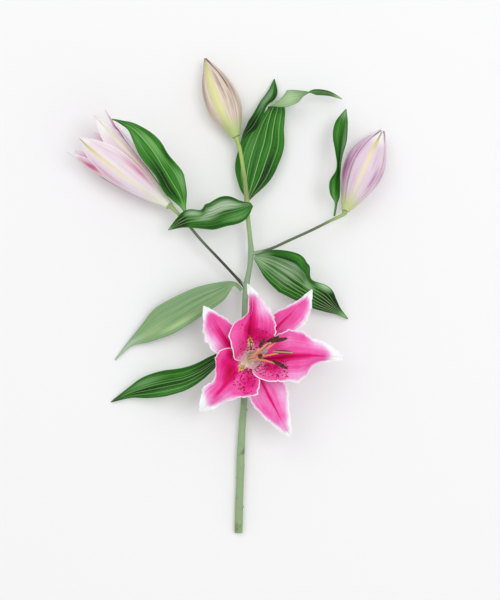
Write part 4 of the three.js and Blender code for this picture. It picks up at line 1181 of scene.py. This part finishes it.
def sepal_point(plan, sepal, share, across):
    turn, length, flare = sepal[:3]
    route = plan["points"]
    along = share * length
    known = plan.setdefault("known", {})
    key = round(along, 6)
    if key not in known:
        forward = heading(route, along)
        outward = (Vector((0, 0, 1)) - forward.z * forward).normalized()
        known[key] = (through(route, along), outward, forward.cross(outward),
                      through(plan["radii"], along))
    centre, outward, sideways, reach = known[key]
    half = sepal_reach(sepal, share, across)
    angle = math.radians(turn) - half * across
    off = abs(across) * half * reach
    fade = plateau(share, 0, 0.12, 0.9, 1)
    reach += fade * (0.6 * hump(off, 0, 2.4) - 0.4 * hump(off, 5.5, 2.6))
    reach -= fade * 0.7 * smooth_step(0.86, 1, abs(across))
    reach += flare * smooth_step(0.7, 1, share) * 2 + 0.25 * wobble(along * 7, angle * 3, turn)
    place = centre + reach * (math.cos(angle) * outward + math.sin(angle) * sideways)
    place.z = max(place.z, FLOOR_GAP)
    return place


def core_radius(plan, share):
    reach = max(through(plan["radii"], share) - SEAM_DEPTH, 0.3) * smooth_step(1.04, 0.8, share)
    return max(reach, 0.1)


for name, plan in CLOSED_BUDS.items():
    plan["points"] = [Vector(p) for p in plan["route"]]
    bm = bmesh.new()
    bend_to_tube(bm, plan["route"], lambda share, turn: core_radius(plan, share), 60, 48)
    for vert in bm.verts:
        vert.co.z = max(vert.co.z, FLOOR_GAP * 2 * MM)
    core = make_piece(name + "_core", bm, plan["slot"], name)
    core.data.materials.append(BUD_CORE)
    face = new_finish(name + "_face", bud_face, plan)
    for k, sepal in enumerate(plan["sepals"]):
        bm = lay_sheet(BUD_ROWS, SEPAL_COLUMNS,
                       lambda *place: through(plan["radii"], place[0]) * sepal_reach(sepal, *place),
                       lambda *place: sepal_point(plan, sepal, *place),
                       bud_tones(plan["warmth"][k], plan["patches"][k], plan["ribs"][k]))
        shell = make_piece(f"{name}_sepal_{k + 1}", bm, plan["slot"], name)
        thicken(shell, SEPAL_THICKNESS, face, face)


# ---- the opening bud ----
# Six tepals still wrapped round each other on a stalk of their own: three outer over three inner,
# pale outside and deep pink within, with white tips that have just come apart.

OPENING_BASE = Vector((-65.3, 98, 29.5))
OPENING_AXIS = Vector((-0.763, 0.646, 0.012)).normalized()
OPENING_UP = (Vector((0, 0, 1)) - OPENING_AXIS.z * OPENING_AXIS).normalized()
OPENING_SIDE = OPENING_UP.cross(OPENING_AXIS)
OPENING_LENGTH = 119
OPENING_RADII = [4.4, 11, 16.5, 20.5, 23.5, 25.5, 27, 29]
OPENING_WIDTHS = [2, 7.8, 12.6, 16, 17.4, 15.8, 10.2, 0.8]
LAYER_STEP = 1.1  # how much further in the inner three stand
OPENING_THICKNESS = 0.75
HEART_DEPTH = LAYER_STEP + 1.3  # from the outer three down to the folded heart
HEART_START = 2
HEART_LENGTH = 96
OPENING_PETALS = {
    "opening_petal_outer_1": {
        "turn": 15, "inset": 0, "length": 0.97, "flare": 1, "warmth": -0.42, "rib": (0.14, 0.24),
        "patches": [(0.4, -0.74, 0.34, 0.34, 1.1), (0.5, -0.28, 0.34, 0.1, 0.4),
            (0.6, 0.8, 0.36, 0.28, 0.8), (0.75, -0.55, 0.18, 0.14, 0.35), (0.95, 0, 0.1, 2, -0.3),
            (0.6, 0.45, 0.3, 0.1, 0.25)],
    },
    "opening_petal_outer_2": {
        "turn": 135, "inset": 0, "length": 0.99, "flare": 0, "warmth": 0.05, "rib": (0, 0.1),
        "patches": [(0.4, -0.5, 0.35, 0.3, 0.4), (0.55, -0.85, 0.3, 0.12, -0.4),
            (0.94, 0, 0.12, 2, -0.9)],
    },
    "opening_petal_outer_3": {
        "turn": -102, "inset": 0, "length": 1, "flare": 6, "warmth": -0.3, "rib": (0, 0.08),
        "patches": [(0.4, 0.5, 0.3, 0.5, 0.8), (0.9, 0, 0.2, 2, -0.8)],
    },
    "opening_petal_inner_1": {
        "turn": -44, "inset": LAYER_STEP, "length": 1.01, "flare": 2, "warmth": -0.25,
        "rib": (0.1, 0.1),
        "patches": [(0.42, 0.1, 0.28, 0.7, 0.75), (0.6, 0.4, 0.2, 0.14, 0.3),
            (0.9, 0, 0.2, 2, -0.7)],
    },
    "opening_petal_inner_2": {
        "turn": 76, "inset": LAYER_STEP, "length": 1, "flare": 0, "warmth": -0.25, "rib": (0, 0.08),
        "patches": [(0.74, -0.3, 0.18, 0.7, 1.3), (0.45, 0, 0.3, 0.14, 0.5), (0.95, 0, 0.1, 2, -1)],
    },
    "opening_petal_inner_3": {
        "turn": 196, "inset": LAYER_STEP, "length": 0.97, "flare": 0, "warmth": 0, "rib": (0, 0.08),
        "patches": [(0.8, 0, 0.14, 0.8, 0.9), (0.96, 0, 0.12, 2, -1)],
    },
}
OPENING_COLOURS = {
    "ramp": [(0, 252, 250, 251), (1, 208, 96, 148), (0.28, 236, 222, 230), (0.5, 230, 204, 218),
        (0.75, 230, 164, 192)],
    "rib_ramp": [(0, 222, 226, 180), (1, 110, 118, 50), (0.35, 246, 236, 216), (0.7, 244, 230, 190),
        (0.88, 218, 214, 120)],
    "foot": (240, 240, 224), "seam": (252, 248, 250), "seam_from": 0.1, "tip_seam": 1,
    "seam_clear": 0.5, "streaks": 1.5,
}


def opening_half(share, across=0):
    return max(through(OPENING_WIDTHS, share), 0.5)


def opening_point(plan, share, across):
    distance = through(OPENING_RADII, share) - plan["inset"] + plan["flare"] * share ** 4
    half = opening_half(share)
    angle = math.radians(plan["turn"]) + across * half / max(distance, 1)
    off = abs(across) * half
    fade = plateau(share, 0.03, 0.15, 0.9, 1)
    distance += fade * (0.7 * hump(off, 0, 1.8) - 0.35 * hump(off, 4.2, 1.8))
    seed = plan["turn"] * 0.1 + (5 if across > 0 else 0)
    ruffle = 0.9 * wobble(share * 13, seed, 0) * smooth_step(0.45, 0.75, share)
    distance += ruffle * smooth_step(0.7, 1, abs(across))
    height = 0.8 + OPENING_LENGTH * plan["length"] * share
    return (OPENING_BASE + height * OPENING_AXIS
            + distance * (math.cos(angle) * OPENING_UP + math.sin(angle) * OPENING_SIDE))


def opening_inside(tree):
    _, along, rim, vein, _ = outputs_of(tree, PETAL_PLACES)
    colour = shades(tree, along, [
        (0.0, 232, 230, 200), (1.0, 250, 246, 248), (0.3, 246, 222, 234), (0.6, 240, 184, 214),
        (0.78, 214, 88, 152), (0.92, 246, 222, 236),
    ])
    colour = blend(tree, ease(tree, rim, 4.0, 0.5), colour, paint(250, 242, 246))
    streaks = times(tree, ease(tree, vein, 0.45, 0.8), 0.3)
    colour = blend(tree, streaks, colour, paint(206, 60, 130))
    return {"Base Color": colour, "Roughness": 0.5, "Normal": bump(tree, vein, 0.4, 0.0006),
            "Specular IOR Level": 0.2}


OPENING_FACE = new_finish("opening_face", bud_face, OPENING_COLOURS)
OPENING_INSIDE = new_finish("opening_inside", opening_inside)


def heart_radius(share, turn):
    """The folded heart fills the seams between the six from behind, and ends in a twisted point."""
    along = (HEART_START + HEART_LENGTH * share) / OPENING_LENGTH
    reach = through(OPENING_RADII, along) - HEART_DEPTH
    folded = 1 - 0.5 * smooth_step(0.6, 0.8, share) * abs(math.sin(1.5 * turn + 2.5 * share)) ** 1.5
    return max(reach * folded * smooth_step(1.0, 0.62, share), 0.15)


bm = bmesh.new()
heart_route = [OPENING_BASE + OPENING_AXIS * (HEART_START + HEART_LENGTH * k / 3) for k in range(4)]
bend_to_tube(bm, heart_route, heart_radius, 90, 60)
heart = make_piece("opening_heart", bm, "bud_pale", "opening_petal_inner_3")
heart.data.materials.append(BUD_CORE)
for name, plan in OPENING_PETALS.items():
    bm = lay_sheet(BUD_ROWS, SEPAL_COLUMNS, opening_half,
                   lambda *place: opening_point(plan, *place),
                   bud_tones(plan["warmth"], plan["patches"], plan["rib"]))
    petal = make_piece(name, bm, "bud_pale", name)
    thicken(petal, OPENING_THICKNESS, OPENING_FACE, OPENING_INSIDE)


# ---- where it lies ----
# A plain pale floor under soft, wide light from above, looked at from straight overhead.

FLOOR_REACH = 12
bm = bmesh.new()
bmesh.ops.create_grid(bm, x_segments=1, y_segments=1, size=FLOOR_REACH)
floor_mesh = bpy.data.meshes.new("floor")
bm.to_mesh(floor_mesh)
bm.free()
put_in_scene("floor", floor_mesh)


def floor_paper(tree):
    return {"Base Color": paint(243, 243, 244), "Roughness": 0.9}


floor_mesh.materials.append(new_finish("floor_paper", floor_paper))

world = bpy.data.worlds.new("studio")
bpy.context.scene.world = world
world.use_nodes = True
sky = world.node_tree
plug(sky, sky.nodes["Background"], {"Color": (1, 1, 1, 1), "Strength": 0.69})
# Each lamp is (place, size, power).
LAMPS = {"key": ((-1.2, 1.6, 3.2), 2.6, 25), "fill": ((1.15, 0.4, 3.2), 1.8, 31)}
AIM = Vector((0, 0, 0.03))
for name, (place, size, power) in LAMPS.items():
    light = bpy.data.lights.new(name, "AREA")
    light.shape = "DISK"
    light.size = size
    light.energy = power
    lamp = put_in_scene(name, light)
    lamp.location = place
    lamp.rotation_euler = (AIM - Vector(place)).to_track_quat("-Z", "Y").to_euler()

VIEW_HEIGHT = 1.47
PICTURE_HEIGHT = 0.66  # of the floor, top to bottom of the picture
VIEW_MIDDLE = (0.022, -0.0044)
camera_data = bpy.data.cameras.new("overhead")
camera_data.lens = camera_data.sensor_width * VIEW_HEIGHT / PICTURE_HEIGHT
camera = put_in_scene("overhead", camera_data)
camera.location = (*VIEW_MIDDLE, VIEW_HEIGHT)
bpy.context.scene.camera = camera
bpy.context.scene.view_settings.view_transform = "Standard"
